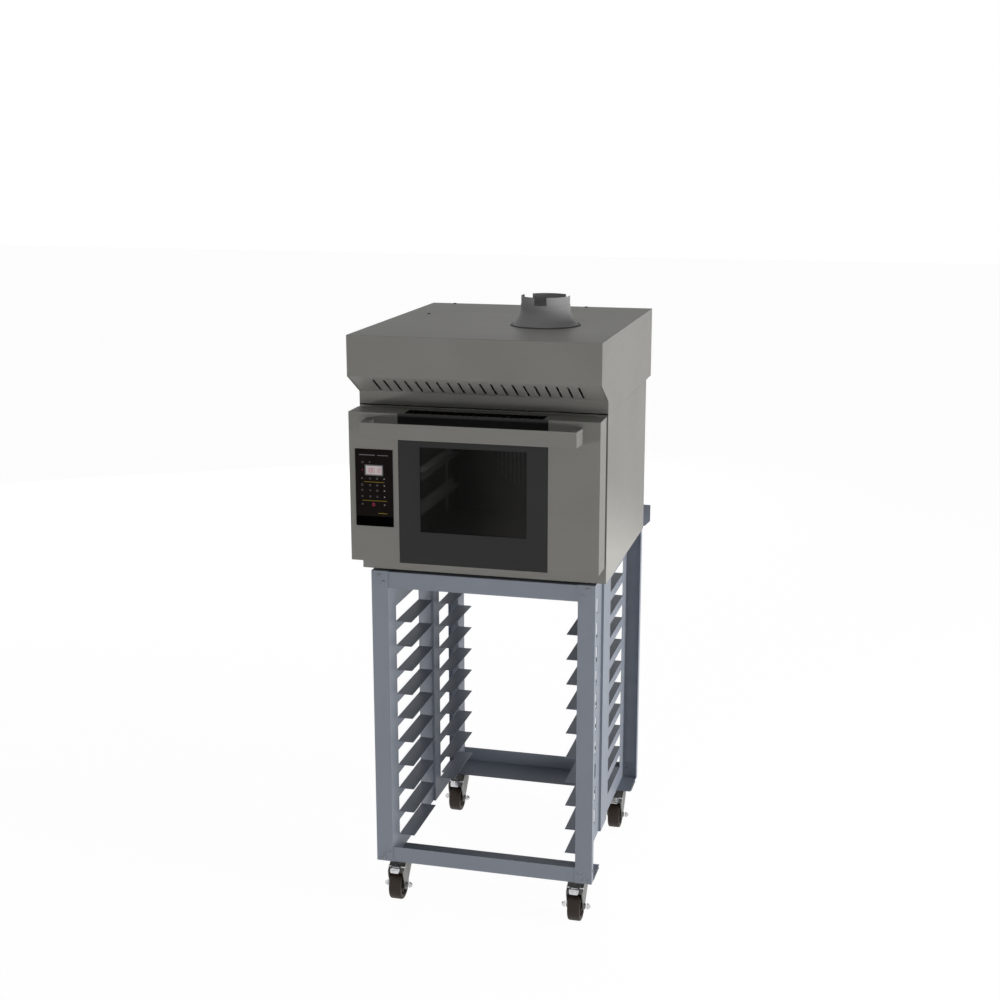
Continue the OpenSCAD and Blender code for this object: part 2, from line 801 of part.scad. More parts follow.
// Steam duct: a tube from the chamber's roof up into the hood
module steam_duct() {
    z0 = cav_z1 + sheet;
    h = hood_z0 + 16 - z0;
    color([0.66, 0.66, 0.65]) placed() translate([duct_x, duct_y, z0]) difference() {
        cylinder(r = duct_r, h = h);
        translate([0, 0, -past]) cylinder(r = duct_r - sheet, h = h + 2 * past);
    }
}

// Pads under the oven, over the side frames' top flanges
foot_in = 30;

module oven_feet() {
    color(dark) placed() both_sides()
        for (y = [body_y0 + foot_in, body_y1 - foot_in])
            translate([web_x + flange_w / 2, y, stand_z1]) cylinder(r = foot_r, h = foot_h);
}

// Door hinge: brackets with pins on the front frame, and knuckles on the inner door
module hinge_brackets() {
    x = [bracket_x, bracket_x + bracket_t];
    color(zinc) placed() both_sides() union() {
        rod_x(x, pivot_y, pivot_z, knuckle_r);
        slab(x, [pivot_y, body_y0], [pivot_z - knuckle_r, pivot_z + knuckle_r]);
        slab([x[0] - bracket_lap, x[1] + bracket_lap], [body_y0 - bracket_foot, body_y0],
            [pivot_z - 2 * knuckle_r, pivot_z + 2 * knuckle_r]);
        rod_x([knuckle_x - 2, x[0] + 1], pivot_y, pivot_z, hinge_pin_r);
    }
}

module hinge_arms() {
    x = [knuckle_x, knuckle_x + knuckle_w];
    arm_y1 = door_y1 - sheet;
    color(zinc) placed() both_sides() difference() {
        union() {
            rod_x(x, pivot_y, pivot_z, knuckle_r);
            slab(x, [arm_y1 - arm_t, arm_y1], [pivot_z, pivot_z + arm_l]);
        }
        rod_x([x[0] - past, x[1] + past], pivot_y, pivot_z, hinge_pin_r + run_fit);
    }
}

// Room for the hinge in the door's lower corners
module hinge_pockets() {
    both_sides() slab([knuckle_x - 4, bracket_x + bracket_t + 4], [pivot_y - pocket_r, door_y1 + past],
        [door_z0 - past, pivot_z + pocket_r]);
}

// Door: outer skin with the openings for glass and controls and an air slot in its top, and
// the inner panel
panel_x = [-door_half + panel_inset, -door_half + panel_inset + panel_w];
panel_z = [door_z0 + panel_lift, door_z0 + panel_lift + panel_h];
panel_proud = 1;
panel_d = 8;
top_slot_w = 332;
top_slot_d = 50;
inner_rim = 14;
vent_lap = 8;
vent_t = 2;
air_slit = [5, 38];
air_slits = 20;

module door_skin() {
    x = [-door_half, door_half];
    color(steel) placed() difference() {
        slab(x, [door_y0, door_y1], [door_z0, door_z1]);
        slab([x[0] + sheet, x[1] - sheet], [door_y0 + sheet, door_y1 + past],
            [door_z0 + sheet, door_z1 - sheet]);
        slab([-glass_w / 2, glass_w / 2], [door_y0 - past, door_y0 + glass_t],
            [door_z0 - past, door_z1 + past]);
        slab(panel_x, [door_y0 - past, door_y0 + sheet + past], panel_z);
        slab([-top_slot_w / 2, top_slot_w / 2], [door_y1 - inner_rim - top_slot_d, door_y1 - inner_rim],
            [door_z1 - sheet - past, door_z1 + past]);
        hinge_pockets();
    }
}

// Black air grille under the slot in the door's top
module door_vent() {
    y = [door_y0 + glass_t + 2 * hole_fit, door_y1 - inner_rim - 2 * hole_fit];
    z = [door_z1 - sheet - vent_t, door_z1 - sheet];
    pitch = top_slot_w / air_slits;
    color(dark) placed() difference() {
        slab([-top_slot_w / 2 - vent_lap, top_slot_w / 2 + vent_lap], y, z);
        for (i = [0 : air_slits - 1])
            translate([(i - (air_slits - 1) / 2) * pitch - air_slit[0] / 2,
                (y[0] + y[1] - air_slit[1]) / 2, z[0] - past])
                cube([air_slit[0], air_slit[1], vent_t + 2 * past]);
    }
}

sight_w = cavity_w - 2 * sight_side;
sight_z = [door_z0 + sight_lift, door_z1 - sight_drop];

module door_inner_panel() {
    half = door_half - sheet;
    z = [door_z0 + sheet, door_z1 - sheet];
    color([0.62, 0.62, 0.60]) placed() difference() {
        slab([-half, half], [door_y1 - inner_rim, door_y1], z);
        slab([-half + sheet, half - sheet], [door_y1 - inner_rim - past, door_y1 - sheet],
            [z[0] + sheet, z[1] - sheet]);
        slab([-sight_w / 2, sight_w / 2], [door_y1 - sheet - past, door_y1 + past], sight_z);
        hinge_pockets();
    }
}

module outer_glass() {
    color(tinted) placed()
        slab([-glass_w / 2, glass_w / 2], [door_y0, door_y0 + glass_t], [door_z0, door_z1]);
}

pane_lap = 10;

module inner_glass() {
    y1 = door_y1 - sheet;
    color([0.50, 0.55, 0.55]) placed()
        slab([-sight_w / 2 - pane_lap, sight_w / 2 + pane_lap], [y1 - glass_t, y1],
            [sight_z[0] - pane_lap, sight_z[1] + pane_lap]);
}

// Handle: a front plate between two closed boxes that stand on the door
handle_z = [door_z1 - handle_drop - handle_h, door_z1 - handle_drop];

module handle() {
    a = handle_w / 2;
    b = a + handle_flare;
    inner = a - handle_end;
    y1 = handle_y0 + handle_t;
    color(steel) placed() difference() {
        translate([0, 0, handle_z[0]]) linear_extrude(handle_h)
            polygon([[-b, door_y0], [-a, handle_y0], [a, handle_y0], [b, door_y0]]);
        slab([-inner, inner], [y1, door_y0 + past], [handle_z[0] - past, handle_z[1] + past]);
        both_sides() translate([0, 0, handle_z[0] + handle_t]) linear_extrude(handle_h - 2 * handle_t)
            polygon([[inner + handle_t, y1], [a - handle_t, y1], [b - handle_t, door_y0 + past],
                [inner + handle_t, door_y0 + past]]);
    }
}

// Control panel with a pocket for the display, and the board behind it
display_z1 = panel_z[1] - display_drop;
display_x0 = (panel_x[0] + panel_x[1] - display_w) / 2;
display_t = 2;

module display_space(y) {
    slab([display_x0, display_x0 + display_w], y, [display_z1 - display_h, display_z1]);
}

module control_panel() {
    y0 = door_y0 - panel_proud;
    color(dark) placed() difference() {
        slab(panel_x, [y0, y0 + panel_d], panel_z);
        display_space([y0 - past, y0 + display_t]);
    }
}

module display_window() {
    y0 = door_y0 - panel_proud;
    color([0.90, 0.88, 0.89]) placed() display_space([y0, y0 + display_t]);
}

board_in = 3;
board_post_in = 9;
board_post_r = 3;
board_stand = 4;
board_block = [20, 16, 30, 70];

module control_board() {
    y0 = door_y0 - panel_proud + panel_d;
    color([0.10, 0.35, 0.20]) placed() union() {
        slab([panel_x[0] + board_in, panel_x[1] - board_in], [y0 + board_stand, y0 + board_stand + board_t],
            [panel_z[0] + board_in, panel_z[1] - board_in]);
        for (x = [panel_x[0] + board_post_in, panel_x[1] - board_post_in],
            z = [panel_z[0] + board_post_in, panel_z[1] - board_post_in])
            rod_y([y0, y0 + board_stand + board_t / 2], x, z, board_post_r);
        slab([panel_x[0] + board_block[0], panel_x[1] - board_block[0]],
            [y0 + board_stand, y0 + board_block[1]],
            [panel_z[0] + board_block[2], panel_z[0] + board_block[3]]);
    }
}

// Stand: each side frame is one folded sheet with slides bent out of its windows
module corner_screws(r, y) {
    for (p = stand_screw_at, z = [stand_z0 + p[1], stand_z1 - p[1]])
        rod_y(y, stand_half - p[0], z, r);
}

module side_frame() {
    z = [stand_z0, stand_z1];
    mid = [stand_mid - rib_w / 2, stand_mid + rib_w / 2];
    x = [web_x, web_x + sheet];
    color(blue_grey) placed() difference() {
        union() {
            slab(x, [stand_y0, stand_y1], z);
            slab([web_x, stand_half], [stand_y0, stand_y0 + sheet], z);
            slab([web_x, stand_half], [stand_y1 - sheet, stand_y1], z);
            slab([web_x, stand_half], [stand_y0, stand_y1], [stand_z1 - sheet, stand_z1]);
            slab([stand_half - sheet, stand_half], [stand_y0, stand_y0 + lip_d], z);
            slab([stand_half - sheet, stand_half], [stand_y1 - lip_d, stand_y1], z);
            slab([web_x, web_x + rib_d], [mid[0] - sheet, mid[1] + sheet], z);
            for (i = [0 : slide_levels - 1], y = [stand_y0 + slide_inset, stand_y1 - slide_inset - slide_l])
                slab([web_x - slide_w, web_x + sheet], [y, y + slide_l],
                    [slide_z(i) - sheet, slide_z(i)]);
        }
        slab([web_x - past, web_x + rib_d - sheet], mid, [stand_z0 - past, stand_z1 - sheet]);
        for (i = [0 : slide_levels - 1], y = [stand_y0 + slide_inset, stand_y1 - slide_inset - slide_l])
            slab([web_x - past, web_x + sheet + past], [y, y + slide_l], [slide_z(i), slide_z(i) + slide_w]);
        rail_room();
        corner_screws(stand_screw_r + hole_fit, [stand_y0 - past, stand_y0 + sheet + past]);
        corner_screws(stand_screw_r + hole_fit, [stand_y1 - sheet - past, stand_y1 + past]);
        lip_bolt([stand_half - sheet - past, stand_half + past], stand_screw_r + hole_fit);
    }
}

module lip_bolt(x, r) { rod_x(x, stand_y0 + lip_bolt_at[0], stand_z0 + lip_bolt_at[1], r); }

function slide_z(i) = stand_z0 + slide_lift + i * slide_pitch;

// Notches in a side frame where the cross rails pass through its web
module rail_room() {
    for (f = [0, 1]) {
        y0 = f == 0 ? stand_y0 + sheet : stand_y1 - low_shelf_d;
        y1 = f == 0 ? stand_y0 + low_shelf_d : stand_y1 - sheet;
        slab([web_x - past, stand_half - sheet], [y0, y1], [stand_z0 - past, stand_z0 + sheet]);
    }
    for (y = [stand_y0 + sheet, stand_y1 - 2 * sheet]) {
        slab([web_x - past, stand_half - sheet], [y, y + sheet], [stand_z0 - past, stand_z0 + low_rail_h]);
        slab([web_x - past, stand_half - sheet], [y, y + sheet], [stand_z1 - top_rail_h, stand_z1 - sheet]);
    }
    for (y = [stand_y0 + sheet, stand_y1 - top_shelf_d])
        slab([web_x - past, stand_half - sheet], [y, y + top_shelf_d - sheet],
            [stand_z1 - 2 * sheet, stand_z1 - sheet]);
}

module stand_left_side() { mirror([1, 0, 0]) side_frame(); }
module stand_right_side() { side_frame(); }

// Cross rails: an upright face behind the flanges with a shelf folded from it
module turned_to_back() {
    translate([0, 2 * stand_mid, 0]) mirror([0, 1, 0]) children();
}

module top_rail() {
    half = stand_half - sheet;
    z1 = stand_z1 - sheet;
    y0 = stand_y0 + sheet;
    difference() {
        union() {
            slab([-half, half], [y0, y0 + sheet], [stand_z1 - top_rail_h, z1]);
            slab([-half, half], [y0, stand_y0 + top_shelf_d], [z1 - sheet, z1]);
        }
        both_sides() corner_screws(stand_screw_r + hole_fit, [y0 - past, y0 + sheet + past]);
    }
}

module bottom_rail() {
    half = stand_half - sheet;
    y0 = stand_y0 + sheet;
    difference() {
        union() {
            slab([-half, half], [y0, y0 + sheet], [stand_z0, stand_z0 + low_rail_h]);
            slab([-half, half], [y0, stand_y0 + low_shelf_d], [stand_z0, stand_z0 + sheet]);
        }
        both_sides() corner_screws(stand_screw_r + hole_fit, [y0 - past, y0 + sheet + past]);
    }
}

module stand_top_front_rail() { color(blue_grey) placed() top_rail(); }
module stand_top_rear_rail() { color(blue_grey) placed() turned_to_back() top_rail(); }
module stand_bottom_front_rail() { color(blue_grey) placed() bottom_rail(); }
module stand_bottom_rear_rail() { color(blue_grey) placed() turned_to_back() bottom_rail(); }

// Stops that rise behind the oven at the stand's rear corners
stop_t = 2.5;
stop_out = 22;
stop_up = 38;
stop_down = 22;
stop_foot = 40;

module stand_rear_stops() {
    y1 = stand_y1 - 2 * sheet;
    x0 = web_x + rib_d + 2;
    x1 = stand_half + near_fit;
    x2 = stand_half + stop_out;
    color(blue_grey) placed() both_sides() union() {
        translate([0, y1, 0]) rotate([90, 0, 0]) linear_extrude(stop_t)
            polygon([[x0, stand_z1], [x1, stand_z1], [x1, stand_z1 - stop_down],
                [stand_half + stop_out / 3, stand_z1 - stop_down], [x2, stand_z1 - stop_down / 3],
                [x2, stand_z1 + stop_up], [x0, stand_z1 + stop_up]]);
        slab([x0, stand_half], [y1 - stop_foot, y1], [stand_z1, stand_z1 + stop_t]);
    }
}

module stand_screws() {
    grip = 6;
    color(zinc) placed() both_sides() union() {
        corner_screws(stand_screw_r, [stand_y0 - 1, stand_y0 + grip]);
        corner_screws(screw_head_r, [stand_y0 - screw_head_h, stand_y0]);
        corner_screws(stand_screw_r, [stand_y1 - grip, stand_y1 + 1]);
        corner_screws(screw_head_r, [stand_y1, stand_y1 + screw_head_h]);
        lip_bolt([stand_half - grip, stand_half + 1], stand_screw_r);
        lip_bolt([stand_half, stand_half + screw_head_h], screw_head_r);
    }
}

// Casters: fixed plate with raceway and swivel pin; fork with axle; wheel; brake pedal
function caster_y(front) = front ? stand_y0 + caster_inset : stand_y1 - caster_inset;

module at_caster(left, front) {
    placed() translate([left ? -caster_x : caster_x, caster_y(front), 0]) children();
}

module caster_plate() {
    top = stand_z0;
    union() {
        slab([-plate_w / 2, plate_w / 2], [-plate_l / 2, plate_l / 2], [top - plate_t, top]);
        translate([0, 0, crown_z1 + near_fit]) cylinder(r = race_r, h = top - plate_t - crown_z1);
        translate([0, 0, crown_z1 - crown_t - 1]) cylinder(r = king_r, h = crown_t + 3);
        translate([0, 0, crown_z1 - crown_t - near_fit - 4]) cylinder(r = 2 * king_r - 1, h = 4);
    }
}

module caster_plates() {
    color(zinc) for (left = [true, false], front = [true, false])
        at_caster(left, front) caster_plate();
}

module fork() {
    low = 12;
    union() {
        difference() {
            union() {
                translate([0, 0, crown_z1 - crown_t]) cylinder(r = crown_r, h = crown_t);
                both_sides() along_x([leg_in, leg_in + leg_t]) union() {
                    polygon([[18, crown_z1], [-26, crown_z1], [-54, crown_z1 - 20], [-54, crown_z1 - 30],
                        [-trail - low, wheel_r], [-trail + low, wheel_r], [18, crown_z1 - 26]]);
                    translate([-trail, wheel_r]) circle(r = low);
                }
                along_x([-leg_in, leg_in]) polygon([[-20, crown_z1], [-26, crown_z1], [-50, crown_z1 - 26],
                    [-48, crown_z1 - 27], [-24, crown_z1 - 2]]);
            }
            translate([0, 0, crown_z1 - crown_t - past])
                cylinder(r = king_r + run_fit, h = crown_t + 2 * past);
            rod_x([-leg_in - leg_t - past, leg_in + leg_t + past], pedal_y, pedal_z, pedal_pin_r + run_fit);
        }
        rod_x([-leg_in - leg_t - axle_head, leg_in + leg_t + axle_head], -trail, wheel_r, axle_r);
        both_sides() rod_x([leg_in + leg_t - past, leg_in + leg_t + axle_head], -trail, wheel_r, axle_r + 3);
    }
}

module wheel() {
    rim = 4;
    color([0.16, 0.13, 0.11]) difference() {
        translate([-wheel_w / 2, -trail, wheel_r]) rotate([0, 90, 0]) rotate_extrude($fn = 72)
            polygon([[0, 0], [wheel_r - 3, 0], [wheel_r, 3], [wheel_r, wheel_w - 3], [wheel_r - 3, wheel_w],
                [0, wheel_w]]);
        both_sides() translate([wheel_w / 2 - rim, -trail, wheel_r]) rotate([0, 90, 0])
            difference() {
                cylinder(r = wheel_r - 9, h = rim + past);
                translate([0, 0, -past]) cylinder(r = axle_r + 6, h = rim + 3 * past);
            }
        rod_x([-wheel_w / 2 - past, wheel_w / 2 + past], -trail, wheel_r, axle_r + run_fit);
    }
}

module pedal() {
    tip = [-20, -9];
    wide = 13;
    union() {
        rod_x([-leg_in - leg_t, leg_in + leg_t], pedal_y, pedal_z, pedal_pin_r);
        rod_x([-wide, wide], pedal_y, pedal_z, pedal_pin_r + 1.5);
        along_x([-wide, wide]) translate([pedal_y, pedal_z])
            polygon([[0, 2.5], [0, 0], [tip[0], tip[1]], [tip[0], tip[1] + 2.5]]);
    }
}

module fork_front_left() { color(zinc) at_caster(true, true) fork(); }
module fork_front_right() { color(zinc) at_caster(false, true) fork(); }
module fork_rear_left() { color(zinc) at_caster(true, false) fork(); }
module fork_rear_right() { color(zinc) at_caster(false, false) fork(); }
module wheel_front_left() { at_caster(true, true) wheel(); }
module wheel_front_right() { at_caster(false, true) wheel(); }
module wheel_rear_left() { at_caster(true, false) wheel(); }
module wheel_rear_right() { at_caster(false, false) wheel(); }
module pedal_front_left() { color([0.85, 0.85, 0.86]) at_caster(true, true) pedal(); }
module pedal_front_right() { color([0.85, 0.85, 0.86]) at_caster(false, true) pedal(); }
module pedal_rear_left() { color([0.85, 0.85, 0.86]) at_caster(true, false) pedal(); }
module pedal_rear_right() { color([0.85, 0.85, 0.86]) at_caster(false, false) pedal(); }

hood_shell();
louvre_panel();
hood_base();
grease_filter();
blower_housing();
blower_wheel();
blower_motor();
flue_collar();
hood_screws();
oven_casing();
base_pan();
rear_panel();
front_frame();
cavity_liner();
insulation();
door_gasket();
fan_baffle();
heating_element();
fan_wheel();
fan_motor();
left_rack();
right_rack();
power_board();
cable_gland();
water_valve();
steam_duct();
oven_feet();
hinge_brackets();
door_skin();
door_inner_panel();
door_vent();
outer_glass();
inner_glass();
handle();
control_panel();
display_window();
control_board();
hinge_arms();
stand_left_side();
stand_right_side();
stand_top_front_rail();
stand_top_rear_rail();
stand_bottom_front_rail();
stand_bottom_rear_rail();
stand_rear_stops();
stand_screws();
caster_plates();
fork_front_left();
fork_front_right();
fork_rear_left();
fork_rear_right();
wheel_front_left();
wheel_front_right();
wheel_rear_left();
wheel_rear_right();
pedal_front_left();
pedal_front_right();
pedal_rear_left();
pedal_rear_right();
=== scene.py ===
"""Convection oven with an extraction hood on a wheeled tray stand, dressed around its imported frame."""
import json
import math

import bmesh
import bpy
from mathutils import Matrix, Vector


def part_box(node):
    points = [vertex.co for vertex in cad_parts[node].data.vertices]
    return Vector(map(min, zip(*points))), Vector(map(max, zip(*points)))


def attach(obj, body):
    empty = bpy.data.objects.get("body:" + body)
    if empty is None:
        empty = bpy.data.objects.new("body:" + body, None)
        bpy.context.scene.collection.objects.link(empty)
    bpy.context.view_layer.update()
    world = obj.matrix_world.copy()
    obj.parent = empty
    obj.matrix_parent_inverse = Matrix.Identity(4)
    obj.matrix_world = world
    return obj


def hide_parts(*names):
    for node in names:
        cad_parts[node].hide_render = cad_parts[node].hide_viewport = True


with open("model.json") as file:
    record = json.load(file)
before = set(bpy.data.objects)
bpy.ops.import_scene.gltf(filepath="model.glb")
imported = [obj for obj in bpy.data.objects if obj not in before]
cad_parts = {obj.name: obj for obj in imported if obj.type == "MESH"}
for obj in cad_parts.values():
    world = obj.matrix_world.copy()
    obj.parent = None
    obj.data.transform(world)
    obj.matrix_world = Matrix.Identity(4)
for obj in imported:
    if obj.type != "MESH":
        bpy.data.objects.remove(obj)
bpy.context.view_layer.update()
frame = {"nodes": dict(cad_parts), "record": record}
nodes = frame["nodes"]
scene = bpy.context.scene
MM = 0.001
CORNERS = ("front_left", "front_right", "rear_left", "rear_right")

# Pattern sizes, in cells to the metre
BRUSH_LONG = 6
BRUSH_FINE = 700
STEEL_CLOUD = 4
PAINT_CLOUD = 5
PAINT_PEEL = 420
ZINC_PATCHES = 160
ZINC_SCRATCHES = (60, 900, 900)
MOULD_CLOUD = 40
MOULD_GRAIN = 1600
GLASS_SMEARS = (9, 9, 3)
GLASS_HAZE = (7, 7, 5)
WOOL_FIBRES = (120, 900, 160)
BOARD_TRACKS = 90
FLOOR_CLOUD = 30

# Depths of relief, in metres
FINE_RELIEF = 0.0001
SOFT_RELIEF = 0.0002
WOOL_RELIEF = 0.002

# Painted light: the casing's side is painted lighter towards its foot, between two heights in metres, which
# fall towards the rear
FOOT_START = 1.077
FOOT_END = 0.877
FOOT_TILT = 0.32
FOOT_CURVE = 1.5
FOOT_PAINTED_LIGHT_GAIN = 1.7

# How many times paler the glass's own colour is painted where it stands in for the lit inside of the oven:
# painted light
PAINTED_LIGHT_GAIN = 5.0

WHITE = (1.0, 1.0, 1.0, 1.0)
BOARD_MASK = (0.015, 0.10, 0.035)
BOARD_TRACK_COLOR = (0.05, 0.22, 0.08, 1.0)

# Materials


class Material:
    """A material around one Principled shader, with short calls for the nodes that feed it."""

    def __init__(self, name, color, rough, metal=0.0, spec=0.5, **sockets):
        self.mat = bpy.data.materials.new(name)
        self.mat.use_nodes = True
        self.tree = self.mat.node_tree
        self.shader = self.tree.nodes["Principled BSDF"]
        self.color = color
        self.set("Base Color", (*color, 1.0))
        self.set("Roughness", rough)
        self.set("Metallic", metal)
        self.set("Specular IOR Level", spec)
        for socket, value in sockets.items():
            self.set(socket.replace("_", " "), value)

    def set(self, socket, value):
        self.shader.inputs[socket].default_value = value

    def add(self, kind, *sources, **settings):
        """A new node. A source is (input, output socket) to link or (input, value) to set."""
        n = self.tree.nodes.new("ShaderNode" + kind)
        for key, value in settings.items():
            setattr(n, key, value)
        for socket, source in sources:
            if isinstance(source, bpy.types.NodeSocket):
                self.tree.links.new(source, n.inputs[socket])
            else:
                n.inputs[socket].default_value = source
        return n

    def feed(self, socket, output):
        self.tree.links.new(output, self.shader.inputs[socket])

    def place(self, cells):
        """Object coordinates in metres, times one number or one each for X, Y and Z."""
        scale = cells if isinstance(cells, tuple) else (cells, cells, cells)
        coords = self.add("TexCoord").outputs["Object"]
        return self.add("Mapping", ("Vector", coords), ("Scale", scale)).outputs[0]

    def noise(self, cells, detail=3.0, rough=0.5):
        made = self.add("TexNoise", ("Vector", self.place(cells)), ("Scale", 1.0), ("Detail", detail),
                        ("Roughness", rough))
        return made.outputs[0]

    def span(self, value, low, high, start=0.3, end=0.7):
        """Low where the value is start, high where it is end."""
        made = self.add("MapRange", ("Value", value), ("From Min", start), ("From Max", end),
                        ("To Min", low), ("To Max", high))
        return made.outputs[0]

    def math(self, kind, first, second=0.0):
        return self.add("Math", (0, first), (1, second), operation=kind).outputs[0]

    def blend(self, value, first, second):
        made = self.add("Mix", (0, value), (6, first), (7, second), data_type="RGBA", blend_type="MIX")
        return made.outputs[2]

    def shade(self, value, amount):
        """Base colour that wanders by amount to both sides, as value does."""
        low = tuple(c * (1 - amount) for c in self.color)
        high = tuple(c * (1 + amount) for c in self.color)
        mixed = self.blend(self.span(value, 0.0, 1.0), (*low, 1.0), (*high, 1.0))
        self.feed("Base Color", mixed)
        return mixed

    def bump(self, height, strength, distance):
        made = self.add("Bump", ("Height", height), ("Strength", strength), ("Distance", distance))
        self.feed("Normal", made.outputs[0])


def brushed(name, color, rough=0.50, metal=0.06, spec=0.12, vary=0.03, painted_light_foot=False):
    """Brushed sheet: fine lines along X, and along Y on the faces that look sideways. The foot option
    paints light onto a side, paler towards its foot.
    """
    m = Material(name, color, rough, metal, spec)
    across = m.noise((BRUSH_LONG, BRUSH_FINE, BRUSH_FINE), 2.0)
    along = m.noise((BRUSH_FINE, BRUSH_LONG, BRUSH_FINE), 2.0)
    normal = m.add("TexCoord").outputs["Normal"]
    x = m.add("SeparateXYZ", ("Vector", normal)).outputs[0]
    side = m.math("ABSOLUTE", x)
    lines = m.blend(m.span(side, 0.0, 1.0, 0.5, 0.8), across, along)
    cloud = m.noise(STEEL_CLOUD)
    tone = m.math("ADD", m.span(cloud, 0.0, 0.7), m.span(lines, 0.0, 0.3))
    base = m.shade(tone, vary)
    # Painted light: the colour grows paler towards the side's foot, standing in for light from the floor
    if painted_light_foot:
        place = m.add("SeparateXYZ", ("Vector", m.place((1, FOOT_TILT, 1)))).outputs
        height = m.math("ADD", place[1], place[2])
        near = m.math("POWER", m.span(height, 0.0, 1.0, FOOT_START, FOOT_END), FOOT_CURVE)
        pale = (*(FOOT_PAINTED_LIGHT_GAIN * c for c in color), 1.0)
        m.feed("Base Color", m.blend(near, base, pale))
    m.feed("Roughness", m.span(lines, rough - 0.06, rough + 0.06))
    m.bump(lines, 0.06, FINE_RELIEF)
    return m.mat


def painted(name, color, rough=0.45, spec=0.14, vary=0.03, peel=0.10):
    """Powder coat: a faint orange peel and slow changes of tone."""
    m = Material(name, color, rough, 0.0, spec)
    cloud = m.noise(PAINT_CLOUD)
    skin = m.noise(PAINT_PEEL, 2.0)
    m.shade(cloud, vary)
    m.feed("Roughness", m.span(skin, rough - 0.04, rough + 0.04))
    m.bump(skin, peel, SOFT_RELIEF)
    return m.mat


def plated(name, color, rough=0.32, metal=0.9, vary=0.10):
    """Zinc plate: small patches of slightly different tone."""
    m = Material(name, color, rough, metal)
    patches = m.add("TexVoronoi", ("Vector", m.place(ZINC_PATCHES)), ("Scale", 1.0)).outputs["Color"]
    value = m.add("SeparateColor", ("Color", patches)).outputs[0]
    m.shade(value, vary)
    m.feed("Roughness", m.span(value, rough - 0.05, rough + 0.07, 0.0, 1.0))
    scratches = m.noise(ZINC_SCRATCHES, 2.0)
    m.bump(scratches, 0.05, FINE_RELIEF)
    return m.mat


def moulded(name, color, rough=0.5, spec=0.4, vary=0.08, grain=0.15, **sockets):
    """Rubber or plastic with a fine moulded grain."""
    m = Material(name, color, rough, 0.0, spec, **sockets)
    cloud = m.noise(MOULD_CLOUD, 4.0)
    skin = m.noise(MOULD_GRAIN, 2.0)
    m.shade(cloud, vary)
    m.feed("Roughness", m.span(cloud, rough - 0.05, rough + 0.05))
    m.bump(skin, grain, FINE_RELIEF)
    return m.mat


def pane(name, color, alpha, spec, rough=0.03, haze_and_painted_light=None):
    """Glass that lets light straight through, with faint smears in its gloss. The last argument is a pair
    of places along X in metres between which the glass is painted paler: painted light for the lit inside
    seen through it."""
    m = Material(name, color, rough, 0.0, spec, Alpha=alpha)
    smear = m.noise(GLASS_SMEARS, 4.0)
    clean = m.shade(smear, 0.12)
    # Painted light: the glass is painted paler along X where the lit inside of the oven would show through
    if haze_and_painted_light:
        x = m.add("SeparateXYZ", ("Vector", m.place(1))).outputs[0]
        painted_light_tone = (*(PAINTED_LIGHT_GAIN * c for c in color), 1.0)
        m.feed("Base Color", m.blend(m.span(x, 0.0, 1.0, *haze_and_painted_light), clean, painted_light_tone))
    m.feed("Roughness", m.span(smear, rough, rough + 0.04))
    m.mat.use_transparency_overlap = False
    return m.mat


def enamelled(name, color, rough=0.10, spec=0.2):
    """Glass enamelled from behind: even colour with a faint haze in its gloss."""
    m = Material(name, color, rough, 0.0, spec)
    haze_and_painted_light = m.noise(GLASS_HAZE, 5.0)
    m.shade(haze_and_painted_light, 0.05)
    m.feed("Roughness", m.span(haze_and_painted_light, rough - 0.02, rough + 0.03))
    return m.mat


def woolly(name, color):
    """Mineral wool: long matted fibres."""
    m = Material(name, color, 0.95, 0.0, 0.1)
    fibres = m.noise(WOOL_FIBRES, 6.0, 0.7)
    m.shade(fibres, 0.25)
    m.bump(fibres, 0.8, WOOL_RELIEF)
    return m.mat


def circuit_board(name):
    """Circuit board: green mask with lighter tracks."""
    m = Material(name, BOARD_MASK, 0.35, 0.0, 0.5)
    tracks = m.add("TexBrick", ("Vector", m.place(1)), ("Scale", BOARD_TRACKS), ("Mortar Size", 0.03),
                   ("Color1", (0.0, 0.0, 0.0, 1.0)), ("Color2", (0.1, 0.1, 0.1, 1.0)),
                   ("Mortar", WHITE)).outputs[0]
    m.feed("Base Color", m.blend(tracks, (*BOARD_MASK, 1.0), BOARD_TRACK_COLOR))
    m.bump(tracks, 0.3, SOFT_RELIEF)
    return m.mat


